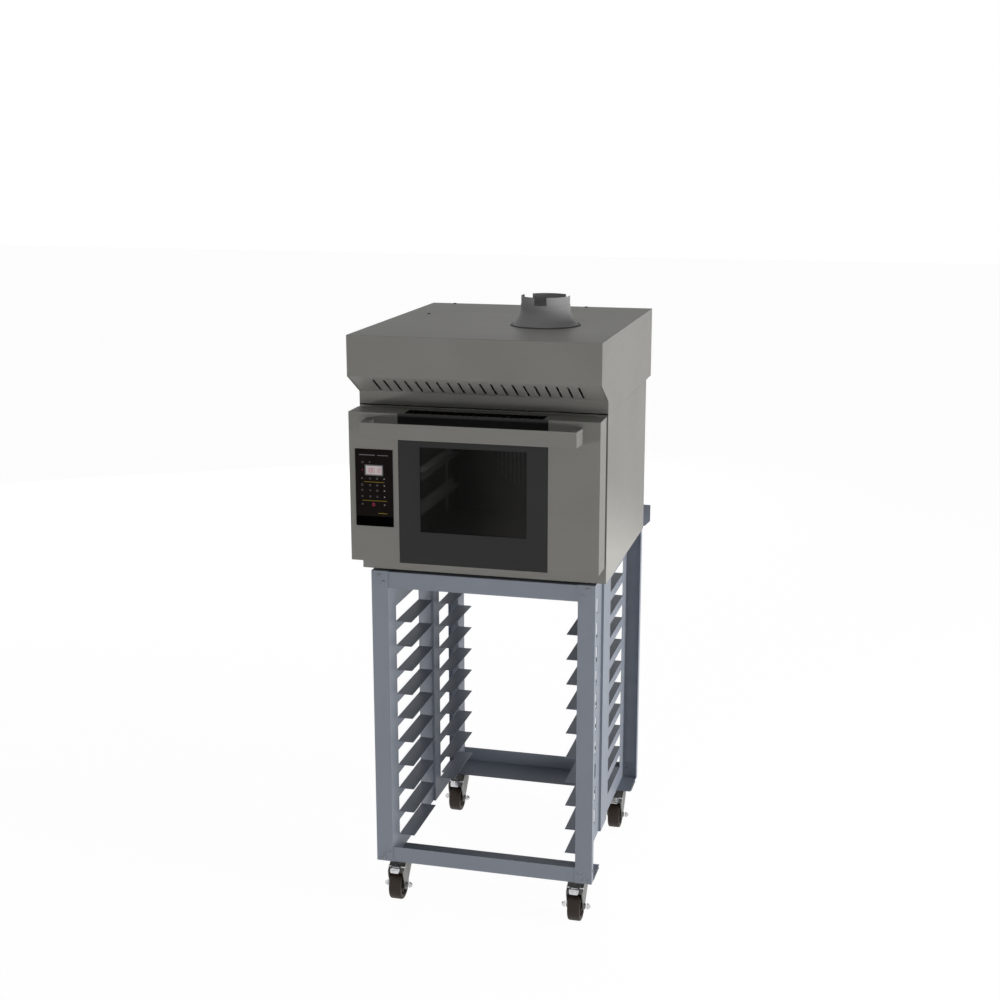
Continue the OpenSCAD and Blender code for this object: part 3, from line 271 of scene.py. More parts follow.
STEEL = (0.235, 0.231, 0.216)
PAINT = (0.260, 0.284, 0.331)
DISPLAY = (0.44, 0.40, 0.40)
looks = {
    "hood_steel": brushed("hood_steel", STEEL),
    "body_steel": brushed("body_steel", STEEL),
    "inner_steel": brushed("inner_steel", (0.36, 0.355, 0.34), rough=0.30, metal=0.8),
    "filter_metal": brushed("filter_metal", (0.45, 0.45, 0.45), rough=0.35, metal=0.9),
    "blower_metal": plated("blower_metal", (0.42, 0.43, 0.44), rough=0.35),
    "motor_black": painted("motor_black", (0.03, 0.03, 0.032), rough=0.5),
    "collar_grey": painted("collar_grey", (0.30, 0.30, 0.305), rough=0.5),
    "screw_zinc": plated("screw_zinc", (0.26, 0.27, 0.29), rough=0.40, metal=0.5),
    "wool": woolly("wool", (0.52, 0.42, 0.20)),
    "seal_rubber": moulded("seal_rubber", (0.012, 0.012, 0.012), rough=0.65),
    "heater_metal": plated("heater_metal", (0.10, 0.085, 0.075), rough=0.5, metal=0.7),
    "board_green": circuit_board("board_green"),
    "black_plastic": moulded("black_plastic", (0.010, 0.010, 0.010), rough=0.4),
    "brass_valve": plated("brass_valve", (0.50, 0.40, 0.20), rough=0.3),
    "tinted_glass": enamelled("tinted_glass", (0.022, 0.0225, 0.022)),
    "clear_glass": pane("clear_glass", (0.02, 0.022, 0.022), alpha=0.15, spec=0.04),
    "panel_black": moulded("panel_black", (0.0062, 0.0044, 0.0038), rough=0.30, spec=0.045, vary=0.2,
                           grain=0.0),
    "display": moulded("display", DISPLAY, rough=0.3, spec=0.2, vary=0.04, grain=0.0,
                       Emission_Color=(*DISPLAY, 1.0), Emission_Strength=0.3),
    "stand_blue_grey": painted("stand_blue_grey", PAINT),
    "caster_zinc": plated("caster_zinc", (0.20, 0.20, 0.19), rough=0.42, metal=0.75),
    "wheel_rubber": moulded("wheel_rubber", (0.020, 0.013, 0.009), rough=0.55, spec=0.35),
    "pedal_zinc": plated("pedal_zinc", (0.62, 0.62, 0.63), rough=0.22),
}

# Finishes of single pieces that share another piece's slot
# The window glass carries painted light, paler towards its right end
looks["window_glass"] = pane("window_glass", (0.0065, 0.0063, 0.0060), alpha=0.50, spec=0.03,
                             haze_and_painted_light=(0.0, 0.12))
looks["liner"] = brushed("liner", (0.060, 0.058, 0.056), rough=0.6, metal=0.0)
looks["baffle"] = brushed("baffle", (0.035, 0.034, 0.033), rough=0.6, metal=0.0)
# The casing's sides carry painted light, paler towards their foot
looks["casing"] = brushed("casing", STEEL, painted_light_foot=True)
looks["rack"] = brushed("rack", (0.26, 0.255, 0.25), rough=0.5, metal=0.1)
looks["gloss_band"] = moulded("gloss_band", (0.0006, 0.0006, 0.0006), rough=0.12, spec=0.005, vary=0.1,
                              grain=0.0)
looks["vent_black"] = moulded("vent_black", (0.009, 0.009, 0.009), rough=0.7, spec=0.0, vary=0.1, grain=0.0)
looks["screw_dark"] = plated("screw_dark", (0.075, 0.075, 0.072), rough=0.4, metal=0.5)
# The sealant's dark grey is partly painted shade at the collar's foot
looks["sealant_and_painted_shade"] = moulded("sealant_and_painted_shade", (0.09, 0.09, 0.088), rough=0.6, spec=0.1)
for ink, ink_color in (("mark_grey", (0.14, 0.13, 0.14)), ("mark_pale", (0.34, 0.33, 0.34)),
                       ("mark_yellow", (0.17, 0.125, 0.012)), ("mark_red", (0.32, 0.03, 0.07)),
                       ("digits", (0.50, 0.16, 0.20))):
    looks[ink] = moulded(ink, ink_color, rough=0.45, spec=0.2, vary=0.05, grain=0.0)

OWN_LOOKS = {"oven_casing": "casing", "cavity_liner": "liner", "fan_baffle": "baffle",
             "left_rack": "rack", "right_rack": "rack", "door_vent": "vent_black"}
for row in frame["record"]["subparts"]:
    look = OWN_LOOKS.get(row["node"], row["material_slot"])
    thing = nodes[row["node"]]
    thing.data.materials.clear()
    thing.data.materials.append(looks[look])

# Shapes

BEVEL_SEGMENTS = 2
BEVEL_ANGLE = 40
WELD_GAP = 0.005
FLAT_ANGLE = 0.5
ROUND_STEPS = 4
hood_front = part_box("hood_shell")[0].y


def spot(x, y, z):
    """A point from millimetres: X from the middle, Y from the hood's front face, Z from the floor."""
    return Vector((x * MM, hood_front + y * MM, z * MM))


def mm_box(node):
    """The lowest and the highest corner of a CAD node in those millimetres."""
    return [[p.x / MM, (p.y - hood_front) / MM, p.z / MM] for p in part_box(node)]


def middle(lo, hi):
    return [(a + b) / 2 for a, b in zip(lo, hi)]


def angles(steps):
    return [2 * math.pi * i / steps for i in range(steps)]


def on_circle(radius, steps):
    return [(radius * math.cos(a), radius * math.sin(a)) for a in angles(steps)]


def rectangle(w, h, r=0.0):
    """Outline of a rectangle round the origin, with corners of radius r."""
    if r <= 0:
        return [(-w / 2, -h / 2), (w / 2, -h / 2), (w / 2, h / 2), (-w / 2, h / 2)]
    points = []
    for k, (sx, sy) in enumerate(((1, 1), (-1, 1), (-1, -1), (1, -1))):
        for i in range(ROUND_STEPS + 1):
            a = math.pi / 2 * (k + i / ROUND_STEPS)
            points.append((sx * (w / 2 - r) + r * math.cos(a), sy * (h / 2 - r) + r * math.sin(a)))
    return points


def between(x, z, grow=0.0):
    """Outline of the rectangle between two places across and two up, larger by grow on each side."""
    left, right = x[0] - grow, x[1] + grow
    foot, top = z[0] - grow, z[1] + grow
    return [(left, foot), (right, foot), (right, top), (left, top)]


def moved(outline, x, z):
    return [(x + u, z + v) for u, v in outline]


class Shape:
    """A mesh under construction."""

    def __init__(self):
        self.bm = bmesh.new()

    def skin(self, rings, loop=False):
        """Joins rings of equally many points. loop joins the last ring to the first."""
        made = [[self.bm.verts.new(spot(*p)) for p in ring] for ring in rings]
        count = len(made[0])
        pairs = list(zip(made, made[1:])) + ([(made[-1], made[0])] if loop else [])
        for a, b in pairs:
            for i in range(count):
                j = (i + 1) % count
                self.bm.faces.new((a[i], a[j], b[j], b[i]))
        if not loop:
            self.bm.faces.new(made[0][::-1])
            self.bm.faces.new(made[-1])

    def prism(self, outline, at, deep):
        """A flat outline (u, v), from one depth w to another. at(u, v, w) is the point."""
        self.skin([[at(u, v, w) for u, v in outline] for w in deep])

    def frame(self, outer, inner, at, deep):
        """A flat ring between two outlines of equally many points."""
        near, far = deep
        rings = ((outer, near), (outer, far), (inner, far), (inner, near))
        self.skin([[at(u, v, w) for u, v in outline] for outline, w in rings], loop=True)

    def lathe(self, profile, at, steps, loop=False):
        """A profile of (radius, height), turned about at's w axis. loop closes it into a ring."""
        self.skin([[at(u, v, h) for u, v in on_circle(r, steps)] for r, h in profile], loop=loop)


def piece(name, shape, body, slot_name, look=None, replaces=(), bevel=0.0, angle=35.0):
    """Turns a shape into an object that rides a body. Edges sharper than angle stay sharp."""
    bm = shape.bm
    bmesh.ops.recalc_face_normals(bm, faces=bm.faces)
    for f in bm.faces:
        f.smooth = True
    for e in bm.edges:
        e.smooth = len(e.link_faces) == 2 and e.calc_face_angle(0.0) < math.radians(angle)
    mesh = bpy.data.meshes.new(name)
    bm.to_mesh(mesh)
    bm.free()
    obj = bpy.data.objects.new(name, mesh)
    scene.collection.objects.link(obj)
    mesh.materials.append(looks[look or slot_name])
    if bevel > 0:
        round_edges(obj, bevel)
    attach(obj, body)
    if replaces:
        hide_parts(*replaces)


def round_edges(obj, width):
    """Rounds the sharp edges of a mesh by width, in millimetres."""
    mod = obj.modifiers.new("round", "BEVEL")
    mod.width = width * MM
    mod.segments = BEVEL_SEGMENTS
    mod.limit_method = "ANGLE"
    mod.angle_limit = math.radians(BEVEL_ANGLE)
    mod.use_clamp_overlap = False
    mod.harden_normals = True


def dress_sheet(node, width):
    """Joins a CAD node's faces and takes the knife edges off its folded sheets."""
    obj = nodes[node]
    mesh = obj.data
    custom = mesh.attributes.get("custom_normal")
    if custom is not None:
        mesh.attributes.remove(custom)
    for poly in mesh.polygons:
        poly.use_smooth = True
    weld = obj.modifiers.new("weld", "WELD")
    weld.merge_threshold = WELD_GAP * MM
    flat = obj.modifiers.new("flat", "DECIMATE")
    flat.decimate_type = "DISSOLVE"
    flat.angle_limit = math.radians(FLAT_ANGLE)
    round_edges(obj, width)


# Door glass: a dark enamelled border round a clear window

BORDER_LEFT = 52.5
BORDER_RIGHT = 50.5
BORDER_FOOT = 78.5
BORDER_TOP = 77.0
WINDOW_GAP = 0.1
glass_lo, glass_hi = mm_box("outer_glass")
glass_depth = (0.0, glass_hi[1] - glass_lo[1])
window_x = (glass_lo[0] + BORDER_LEFT, glass_hi[0] - BORDER_RIGHT)
window_z = (glass_lo[2] + BORDER_FOOT, glass_hi[2] - BORDER_TOP)


def on_door(u, v, w):
    """The door's front plane: X, Z, and depth into the door."""
    return (u, glass_lo[1] + w, v)


border = Shape()
glass_outline = between((glass_lo[0], glass_hi[0]), (glass_lo[2], glass_hi[2]))
border.frame(glass_outline, between(window_x, window_z, WINDOW_GAP), on_door, glass_depth)
piece("glass_border", border, "door", "tinted_glass", replaces=("outer_glass",), bevel=0.5)
clear = Shape()
clear.prism(between(window_x, window_z), on_door, glass_depth)
piece("glass_window", clear, "door", "tinted_glass", "window_glass")

# Control panel: printed marks, in millimetres from the panel's lower left corner

MARK_T = 0.12
BAND_T = 0.15
BAND_EDGE = 0.6
BAND_TOP = 24.0
RING_STEPS = 20
KEY_R = 2.3
KEY_LINE = 0.7
CROSS_LINE = 0.9
LINES_PITCH = 1.6
BARS_PITCH = 1.7
ARROW_R = 2.2
TIMER_LINE = 0.6
TIMER_HAND = 2.4
KEYS_X = (16.4, 36.0, 53.3, 71.0)
KEYS_Z = (115.0, 99.0, 86.4, 71.7, 52.6)
KEY_MARKS = (("lines", "ring", "bars", "up"), ("square", "timer", "lines", "down"),
             ("ring", "cross", "square", "up"), ("bars", "lines", "ring", "down"),
             ("timer", None, None, "cross"))
POWER_X, POWER_Z = 44.0, KEYS_Z[4]
panel_lo, panel_hi = mm_box("control_panel")
panel_w = panel_hi[0] - panel_lo[0]


def on_panel(u, v, w):
    """The panel's front plane: places from its lower left corner, and height over it."""
    return (panel_lo[0] + u, panel_lo[1] - w, panel_lo[2] + v)


def bar(shape, x, z, w, h):
    shape.prism(moved(rectangle(w, h), x, z), on_panel, (0.0, MARK_T))


def ring(shape, x, z, r, line):
    outer = moved(on_circle(r, RING_STEPS), x, z)
    inner = moved(on_circle(r - line, RING_STEPS), x, z)
    shape.frame(outer, inner, on_panel, (0.0, MARK_T))


def arrow(shape, x, z, size, turn):
    """A triangle that points up for turn 1 and down for turn -1."""
    foot = z - turn * size / 2
    shape.prism([(x - size, foot), (x + size, foot), (x, z + turn * size)], on_panel, (0.0, MARK_T))


def square(shape, x, z, size, line):
    inside = size - 2 * line
    shape.frame(moved(rectangle(size, size), x, z), moved(rectangle(inside, inside), x, z), on_panel,
                (0.0, MARK_T))


def key_mark(shape, kind, x, z):
    """One plain generic mark."""
    if kind == "ring":
        ring(shape, x, z, KEY_R, KEY_LINE)
    elif kind == "lines":
        for k in (-1, 0, 1):
            bar(shape, x, z + LINES_PITCH * k, 2 * KEY_R, KEY_LINE)
    elif kind == "bars":
        for k in (-1, 0, 1):
            bar(shape, x + BARS_PITCH * k, z, KEY_LINE, 2 * KEY_R)
    elif kind == "cross":
        bar(shape, x, z, 2 * KEY_R, CROSS_LINE)
        bar(shape, x, z, CROSS_LINE, 2 * KEY_R)
    elif kind == "up":
        arrow(shape, x, z, ARROW_R, 1)
    elif kind == "down":
        arrow(shape, x, z, ARROW_R, -1)
    elif kind == "square":
        square(shape, x, z, 2 * KEY_R, KEY_LINE)
    elif kind == "timer":
        ring(shape, x, z, KEY_R, TIMER_LINE)
        bar(shape, x, z + 0.4, TIMER_LINE, TIMER_HAND)


grey, pale = Shape(), Shape()
for z, kinds in zip(KEYS_Z, KEY_MARKS):
    for x, kind in zip(KEYS_X, kinds):
        key_mark(pale if x == KEYS_X[-1] else grey, kind, x, z)
bar(grey, 29.5, 171.0, 39.0, 2.2)
bar(grey, 68.0, 171.0, 27.0, 1.8)
key_mark(grey, "square", 18.4, 153.5)
key_mark(grey, "up", 36.0, 154.0)
piece("panel_marks", grey, "door", "panel_black", "mark_grey")
piece("panel_key_marks", pale, "door", "panel_black", "mark_pale")
yellow = Shape()
bar(yellow, 46.0, 106.6, 50.0, 1.6)
bar(yellow, 46.5, 61.7, 61.0, 1.6)
bar(yellow, 65.8, 31.8, 21.5, 1.8)
piece("panel_lines", yellow, "door", "panel_black", "mark_yellow")
red = Shape()
ring(red, POWER_X, POWER_Z, 4.0, 1.3)
bar(red, POWER_X, POWER_Z + 2.0, 1.4, 4.6)
bar(red, 17.5, 135.0, 2.4, 2.4)
piece("panel_power_mark", red, "door", "panel_black", "mark_red")
band = Shape()
band.prism(between((BAND_EDGE, panel_w - BAND_EDGE), (BAND_EDGE, BAND_TOP)), on_panel, (0.0, BAND_T))
piece("panel_gloss_band", band, "door", "panel_black", "gloss_band", bevel=0.06)

# Display: a grey bezel and a two-part reading of plain digits

DIGIT_H = 11.0
DIGIT_Z = 5.5
SEGMENT_SHARE = 0.94
SEGMENTS = {"0": "abcdef", "1": "bc", "2": "abged", "8": "abcdefg"}
BEZEL_T = 0.3
BEZEL_OUT = 2.0
BEZEL_IN = 0.8
BEZEL_OUT_R = 1.5
BEZEL_IN_R = 0.8
# Each part's digits, its start from the display's left edge, its pitch, and a digit's width and line
READING = (("180", 4.0, 6.6, 4.2, 1.3), ("12", 26.5, 6.0, 3.8, 1.2))
show_lo, show_hi = mm_box("display_window")
show_x, show_z = show_lo[0] - panel_lo[0], show_lo[2] - panel_lo[2]
show_w, show_h = show_hi[0] - show_lo[0], show_hi[2] - show_lo[2]


def digit(shape, text, x, w, line):
    """One seven-segment digit with its lower left corner x from the display's left edge."""
    h = DIGIT_H
    places = {"a": (w / 2, h, w, line), "g": (w / 2, h / 2, w, line), "d": (w / 2, 0, w, line),
              "f": (0, 0.75 * h, line, h / 2), "e": (0, 0.25 * h, line, h / 2),
              "b": (w, 0.75 * h, line, h / 2), "c": (w, 0.25 * h, line, h / 2)}
    for s in SEGMENTS[text]:
        u, v, long, high = places[s]
        bar(shape, show_x + x + u, show_z + DIGIT_Z + v, long * SEGMENT_SHARE, high * SEGMENT_SHARE)


digits = Shape()
for texts, start, pitch, w, line in READING:
    for k, text in enumerate(texts):
        digit(digits, text, start + pitch * k, w, line)
piece("display_digits", digits, "door", "display", "digits")
bezel = Shape()
mid_x, mid_z = show_x + show_w / 2, show_z + show_h / 2
outer = rectangle(show_w + 2 * BEZEL_OUT, show_h + 2 * BEZEL_OUT, BEZEL_OUT_R)
inner = rectangle(show_w - 2 * BEZEL_IN, show_h - 2 * BEZEL_IN, BEZEL_IN_R)
bezel.frame(moved(outer, mid_x, mid_z), moved(inner, mid_x, mid_z), on_panel, (0.0, BEZEL_T))
piece("display_bezel", bezel, "door", "panel_black", "mark_grey")

# Screws

HEAD_STEPS = 48
# The dome's rings, as shares of the head's radius and height, and the cross recess in the same shares
DOME = ((1.0, 0.0), (1.0, 0.35), (0.93, 0.65), (0.80, 0.87), (0.64, 1.0))
CROSS_ARM = 0.55
CROSS_HALF = 0.14
CROSS_FLOOR = 0.45


def cross_outline(arm, half, steps):
    """A cross round the origin with arms of that length and half width."""
    points = []
    for a in angles(steps):
        c, s = abs(math.cos(a)), abs(math.sin(a))
        big, small = max(c, s), min(c, s)
        reach = arm / big if arm * small / big <= half else half / small
        points.append((reach * math.cos(a), reach * math.sin(a)))
    return points


def screw_head(shape, at, r, h):
    """A domed head with a cross recess. at(u, v, w) has w along the screw, outwards."""
    cross = cross_outline(CROSS_ARM * r, CROSS_HALF * r, HEAD_STEPS)
    rings = [(on_circle(out * r, HEAD_STEPS), up * h) for out, up in DOME]
    rings += [(cross, h), (cross, CROSS_FLOOR * h)]
    shape.skin([[at(u, v, w) for u, v in outline] for outline, w in rings])


# Stand screws: their distances from the frame's outer side and from its ends
CORNER_SCREWS = ((18.0, 10.5), (30.0, 27.0))
CORNER_HEAD_R = 4.2
FRONT_HEAD_H = 2.4
REAR_HEAD_H = 2.2
SIDE_SCREW_Y = 12.0
SIDE_SCREW_Z = 31.0
SIDE_HEAD_R = 4.4
side_lo, side_hi = mm_box("stand_right_side")
heads = Shape()
for sx in (-1, 1):
    for from_side, from_end in CORNER_SCREWS:
        x = sx * (side_hi[0] - from_side)
        for z in (side_lo[2] + from_end, side_hi[2] - from_end):
            screw_head(heads, lambda u, v, w: (x + u, side_lo[1] - w, z + v), CORNER_HEAD_R, FRONT_HEAD_H)
            screw_head(heads, lambda u, v, w: (x + u, side_hi[1] + w, z + v), CORNER_HEAD_R, REAR_HEAD_H)
    y, z = side_lo[1] + SIDE_SCREW_Y, side_lo[2] + SIDE_SCREW_Z
    screw_head(heads, lambda u, v, w: (sx * (side_hi[0] + w), y + u, z + v), SIDE_HEAD_R, FRONT_HEAD_H)
piece("stand_screw_heads", heads, "oven_on_stand", "screw_zinc", replaces=("stand_screws",), angle=50)

# Hood screws: their distances from the left, the right and the rear of the hood
HOOD_SCREW_LEFT = 64.0
HOOD_SCREW_RIGHT = 174.0
HOOD_SCREWS_REAR = (254.0, 14.0)
HOOD_HEAD_R = 4.5
HOOD_HEAD_H = 2.2
hood_lo, hood_hi = mm_box("hood_shell")
heads = Shape()
for x in (hood_lo[0] + HOOD_SCREW_LEFT, hood_hi[0] - HOOD_SCREW_RIGHT):
    for from_rear in HOOD_SCREWS_REAR:
        y = hood_hi[1] - from_rear
        screw_head(heads, lambda u, v, w: (x + u, y + v, hood_hi[2] + w), HOOD_HEAD_R, HOOD_HEAD_H)
piece("hood_screw_heads", heads, "oven_on_stand", "screw_zinc", "screw_dark", replaces=("hood_screws",),
      angle=50)

# Collar: a bead of sealant laid by hand, so its middle and its thickness wander on the way round. Its dark
# grey is partly painted shade where the collar meets the hood

BEAD_STEPS = 96
BEAD_SIDES = 12
BEAD_OUT = 1.0
BEAD_T = 3.2
BEAD_FLAT = 0.9
BEAD_LIFT = 0.2
collar_lo, collar_hi = mm_box("flue_collar")
collar_x, collar_y, _ = middle(collar_lo, collar_hi)
collar_r = (collar_hi[0] - collar_lo[0]) / 2
bead = Shape()
rings = []
for a in angles(BEAD_STEPS):
    radius = collar_r + BEAD_OUT + 0.35 * math.sin(5 * a) + 0.25 * math.sin(11 * a + 1)
    thick = BEAD_T + 0.3 * math.sin(7 * a + 2)
    points = []
    for u, v in on_circle(1.0, BEAD_SIDES):
        out = radius + thick * u
        up = hood_hi[2] + BEAD_LIFT + BEAD_FLAT * thick * max(v, -0.1)
        points.append((collar_x + out * math.cos(a), collar_y + out * math.sin(a), up))
    rings.append(points)
bead.skin(rings, loop=True)
piece("collar_sealant", bead, "oven_on_stand", "seal_rubber", "sealant_and_painted_shade")

# Casters

SPOKES = 6
SPOKE_START = 10.2
SPOKE_END = 12.2
SPOKE_HALF = 1.2
NUT_R = 7.4
BARREL_R = 4.0
LEVER_HALF = 13.0
LEVER_T = 1.6
# The lever's outer side, its cheeks and its grip lines, from the middle of its barrel
LEVER_PATH = ((3.6, 1.6), (1.6, 3.7), (-2.0, 4.4), (-7.0, 3.6), (-12.0, 1.0), (-16.5, -3.0), (-19.6, -7.0),
              (-20.6, -9.6))
LEVER_CHEEK = ((2.5, -3.0), (4.0, 1.0), (1.6, 3.4), (-6.5, 3.2), (-11.0, 0.2), (-6.0, -2.4), (-1.0, -4.0))
LEVER_GRIPS = ((-9.5, 2.6), (-13.2, -0.2), (-16.6, -3.4))
TRAIL = 30.0
RACE_R = 25.0
RACE_T = 2.6
RACE_LIFT = 4.0


def mirrored(points):
    """A profile and its mirror image across the wheel's middle."""
    return points + [(r, -h) for r, h in reversed(points)]


def make_tyre(corner, at, r, half):
    """A tyre of radius r and half width half, with a rounded tread."""
    profile = [(r - 10.0, half - 1.2), (r - 8.6, half - 0.4), (r - 7.4, half), (r - 3.6, half),
               (r - 1.4, half - 0.9), (r - 0.4, half - 2.4), (r, half - 4.6)]
    tyre = Shape()
    tyre.lathe(mirrored(profile), at, steps=72, loop=True)
    piece("tyre_" + corner, tyre, "roller_" + corner, "wheel_rubber", replaces=("wheel_" + corner,))


def make_hub(corner, at, r, half):
    """A hub with a sunk web and spokes on both sides."""
    profile = [(4.1, half - 0.2), (9.0, half - 0.2), (10.4, half - 1.0), (11.0, half - 4.5),
               (r - 12.6, half - 4.5), (r - 12.0, half - 1.8), (r - 10.1, half - 1.8)]
    hub = Shape()
    hub.lathe(mirrored(profile), at, steps=60, loop=True)
    spoke = between((SPOKE_START, r - SPOKE_END), (-SPOKE_HALF, SPOKE_HALF))
    for side in (-1, 1):
        for k in range(SPOKES):
            a = 2 * math.pi / SPOKES * k + 0.3
            along = Vector((math.cos(a), math.sin(a)))
            over = Vector((-along.y, along.x))
            outline = [along * d + over * t for d, t in spoke]
            hub.prism([(p.x, p.y) for p in outline], at, (side * (half - 5.0), side * (half - 2.6)))
    piece("hub_" + corner, hub, "roller_" + corner, "wheel_rubber", bevel=0.3)


def make_nuts(corner, wheel_mid):
    """A hexagon nut and the axle's domed end on each side of the fork."""
    fork_lo, fork_hi = mm_box("fork_" + corner)
    nuts = Shape()
    for side, start in ((-1, fork_lo[0]), (1, fork_hi[0])):
        def on_nut(u, v, w):
            return (start + side * w, wheel_mid[1] + u, wheel_mid[2] + v)

        nuts.lathe([(NUT_R, -0.4), (NUT_R, 3.6), (NUT_R - 0.9, 4.2)], on_nut, steps=6)
        nuts.lathe([(5.6, 4.0), (5.4, 5.6), (4.6, 7.2), (3.2, 8.4), (1.2, 9.0)], on_nut, steps=24)
    piece("axle_nuts_" + corner, nuts, "caster_" + corner, "caster_zinc", "pedal_zinc")


def make_lever(corner, wheel_mid):
    """A bent brake lever on its barrel and pin, with cheeks and three grip lines."""
    pedal_hi = mm_box("pedal_" + corner)[1]
    wide = LEVER_HALF

    def on_lever(u, v, w):
        return (wheel_mid[0] + w, pedal_hi[1] - BARREL_R + u, pedal_hi[2] - BARREL_R + v)

    lever = Shape()
    last = len(LEVER_PATH) - 1
    rings = []
    for i, (u, v) in enumerate(LEVER_PATH):
        ahead = Vector(LEVER_PATH[min(i + 1, last)]) - Vector(LEVER_PATH[max(i - 1, 0)])
        out = Vector((ahead.y, -ahead.x)).normalized()
        if out.y < 0:
            out = -out
        w = wide - 0.5 * max(0, i - 3) - (1.6 if i == last else 0.0)
        section = ((0.0, -w), (0.0, w), (-LEVER_T, w), (-LEVER_T, -w))
        rings.append([on_lever(u + out.x * t, v + out.y * t, x) for t, x in section])
    lever.skin(rings)
    barrel = [(BARREL_R - 0.4, wide - 0.6), (BARREL_R, wide - 1.2)]
    lever.lathe([(r, -x) for r, x in barrel] + barrel[::-1], on_lever, steps=28)
    lever.lathe([(2.2, -21.6), (2.5, -21.2), (2.5, 21.2), (2.2, 21.6)], on_lever, steps=20)
    for side in (-1, 1):
        lever.prism(LEVER_CHEEK, on_lever, (side * (wide - 2.2), side * (wide - 0.6)))
    for u, v in LEVER_GRIPS:
        lever.lathe([(0.6, -9.0), (1.0, -8.4), (1.0, 8.4), (0.6, 9.0)],
                    lambda a, b, w: on_lever(u + a, v + b, w), steps=12)
    piece("brake_lever_" + corner, lever, "brake_" + corner, "pedal_zinc", replaces=("pedal_" + corner,),
          bevel=0.25)


for corner in CORNERS:
    lo, hi = mm_box("wheel_" + corner)
    wheel_mid = middle(lo, hi)
    wheel_r, wheel_half = (hi[2] - lo[2]) / 2, (hi[0] - lo[0]) / 2

    def on_axle(u, v, w):
        return (wheel_mid[0] + w, wheel_mid[1] + u, wheel_mid[2] + v)

    make_tyre(corner, on_axle, wheel_r, wheel_half)
    make_hub(corner, on_axle, wheel_r, wheel_half)
    make_nuts(corner, wheel_mid)
    make_lever(corner, wheel_mid)

race = Shape()
for corner in CORNERS:
    fork_lo, fork_hi = mm_box("fork_" + corner)
    cx = (fork_lo[0] + fork_hi[0]) / 2
    cy = middle(*mm_box("wheel_" + corner))[1] + TRAIL
    race_z = fork_hi[2] + RACE_LIFT
    race.lathe([(RACE_R + RACE_T * u, race_z + RACE_T * v) for u, v in on_circle(1.0, 12)],
               lambda u, v, w: (cx + u, cy + v, w), steps=48, loop=True)
piece("caster_races", race, "oven_on_stand", "caster_zinc")

# Edges of the CAD sheets, rounded by these widths in millimetres

for width, sheets in (
        (0.5, ("hood_shell", "oven_casing", "rear_panel", "front_frame", "door_skin", "door_inner_panel",
               "base_pan")),
        (1.0, ("handle",)),
        (0.4, ("control_panel",)),
        (0.45, ("stand_left_side", "stand_right_side", "stand_top_front_rail", "stand_top_rear_rail",
                "stand_bottom_front_rail", "stand_bottom_rear_rail", "stand_rear_stops", "caster_plates")),
        (0.5, ["fork_" + corner for corner in CORNERS])):
    for node in sheets:
        dress_sheet(node, width)

# Stage, light and camera

FLOOR_SIZE = 40
FLOOR_Z = -0.0005
FLOOR_WHITE = (0.85, 0.85, 0.85)
FLOOR_GLOW = 1.12
FLOOR_GLOW_SHARE = 0.85
SKY_LIGHT = 0.17
SKY_SEEN = 1.0


def seen_rays(tree):
    """1 for rays that look at the backdrop: from the camera, off gloss and through glass."""
    path = tree.nodes.new("ShaderNodeLightPath")
    seen = path.outputs["Is Camera Ray"]
    for ray in ("Is Glossy Ray", "Is Transmission Ray"):
        step = tree.nodes.new("ShaderNodeMath")
        step.operation = "MAXIMUM"
        tree.links.new(seen, step.inputs[0])
        tree.links.new(path.outputs[ray], step.inputs[1])
        seen = step.outputs[0]
    return seen


def floor_material():
    """Pale floor that keeps the object's shadow and looks nearly white."""
    m = Material("floor_white", FLOOR_WHITE, 0.9, 0.0, 0.1)
    m.shade(m.noise(FLOOR_CLOUD), 0.01)
    share = m.math("MULTIPLY", seen_rays(m.tree), FLOOR_GLOW_SHARE)
    glow = m.add("Emission", ("Color", WHITE), ("Strength", FLOOR_GLOW))
    mix = m.add("MixShader", (0, share), (1, m.shader.outputs[0]), (2, glow.outputs[0]))
    m.tree.links.new(mix.outputs[0], m.tree.nodes["Material Output"].inputs["Surface"])
    return m.mat


def make_world():
    """Weak even light for the object, and plain white where the backdrop is seen."""
    world = bpy.data.worlds.new("world")
    scene.world = world
    world.use_nodes = True
    tree = world.node_tree
    light = tree.nodes["Background"]
    seen = tree.nodes.new("ShaderNodeBackground")
    for sky, strength in ((light, SKY_LIGHT), (seen, SKY_SEEN)):
        sky.inputs["Color"].default_value = WHITE
        sky.inputs["Strength"].default_value = strength
    mix = tree.nodes.new("ShaderNodeMixShader")
    tree.links.new(seen_rays(tree), mix.inputs[0])
    tree.links.new(light.outputs[0], mix.inputs[1])
    tree.links.new(seen.outputs[0], mix.inputs[2])
    tree.links.new(mix.outputs[0], tree.nodes["World Output"].inputs["Surface"])


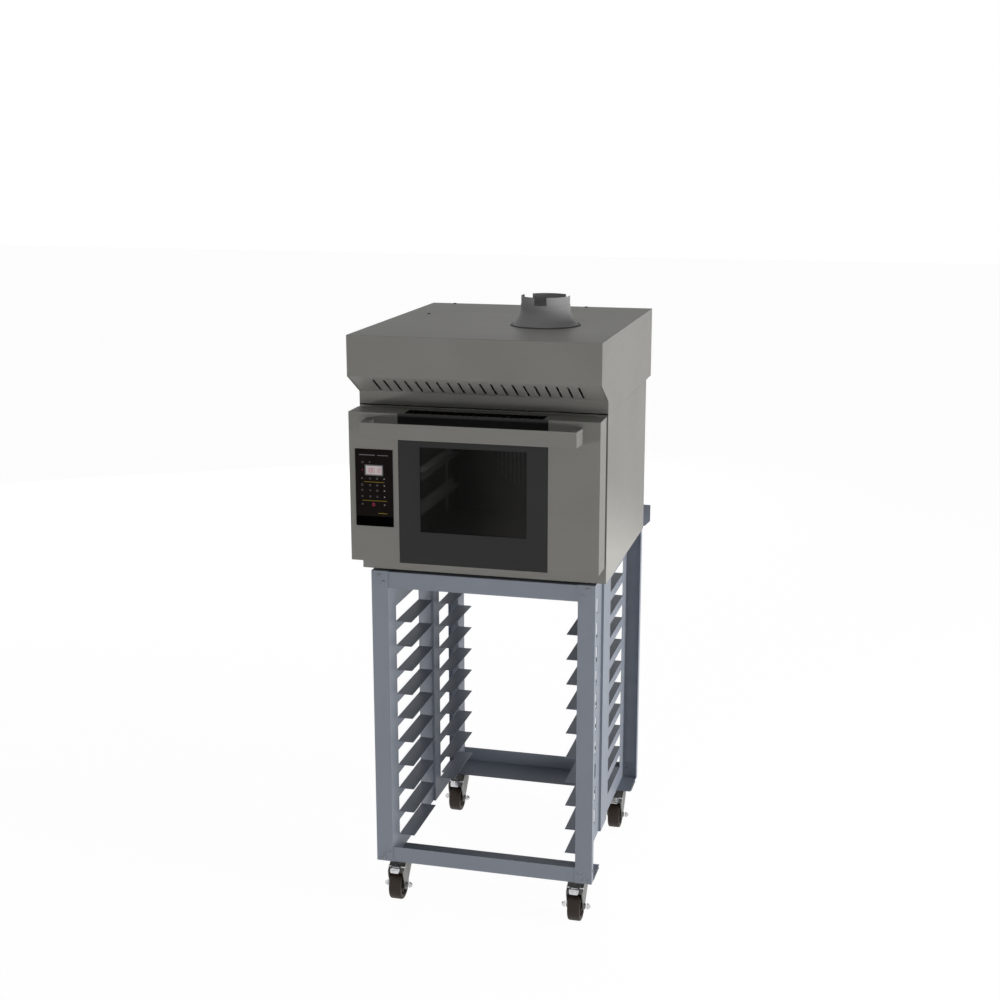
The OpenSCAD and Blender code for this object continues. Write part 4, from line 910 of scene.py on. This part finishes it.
def lamp(name, place, target, size, power, spread=180):
    """A soft lamp at a place, turned to a target, with its power in watts."""
    data = bpy.data.lights.new(name, "AREA")
    data.shape = "RECTANGLE"
    data.size, data.size_y = size
    data.energy = power
    data.spread = math.radians(spread)
    obj = bpy.data.objects.new(name, data)
    scene.collection.objects.link(obj)
    obj.location = place
    obj.rotation_euler = (Vector(target) - Vector(place)).to_track_quat("-Z", "Y").to_euler()
    obj.visible_glossy = False
    obj.visible_camera = False


bpy.ops.mesh.primitive_grid_add(x_subdivisions=8, y_subdivisions=8, size=FLOOR_SIZE,
                                location=(0, 0, FLOOR_Z))
floor = bpy.context.object
floor.name = "floor"
floor.data.materials.append(floor_material())
make_world()
lamp("key_right", (4.4, -0.9, 0.6), (0.0, 0.1, 0.9), (1.6, 1.0), 117)
lamp("side_right", (4.6, 0.3, 0.6), (0.0, 0.3, 0.9), (2.2, 1.0), 49)
lamp("low_left", (-4.6, -2.0, 0.15), (0.0, 0.0, 1.3), (3.0, 0.2), 121)
lamp("low_front", (0.5, -5.0, 0.4), (0.0, 0.0, 0.9), (3.0, 0.6), 41)
lamp("rear_left", (-2.5, 4.6, 0.7), (0.0, 0.0, 0.8), (2.4, 0.8), 60)
lamp("collar_light", spot(40, -60, 1790), spot(120, 280, 1474), (0.15, 0.15), 0.036, 60)
lamp("oven_light", spot(60, 130, 1195), spot(-180, 300, 1100), (0.04, 0.04), 0.38)

# The camera's place in metres and its turns in degrees, worked out from the object's edges
CAMERA_PLACE = (0.9316, -3.7358, 1.9259)
CAMERA_HEADING = 14.364
CAMERA_TILT = 76.576
CAMERA_ROLL = -0.071
camera_data = bpy.data.cameras.new("camera")
camera_data.sensor_width = 36.0
camera_data.lens = 56.203
camera_data.clip_start = 0.05
camera_data.clip_end = 100.0
camera = bpy.data.objects.new("camera", camera_data)
scene.collection.objects.link(camera)
scene.camera = camera
camera.matrix_world = (
    Matrix.Translation(CAMERA_PLACE)
    @ Matrix.Rotation(math.radians(CAMERA_HEADING), 4, "Z")
    @ Matrix.Rotation(math.radians(CAMERA_TILT), 4, "X")
    @ Matrix.Rotation(math.radians(CAMERA_ROLL), 4, "Z")
)
scene.view_settings.view_transform = "Standard"
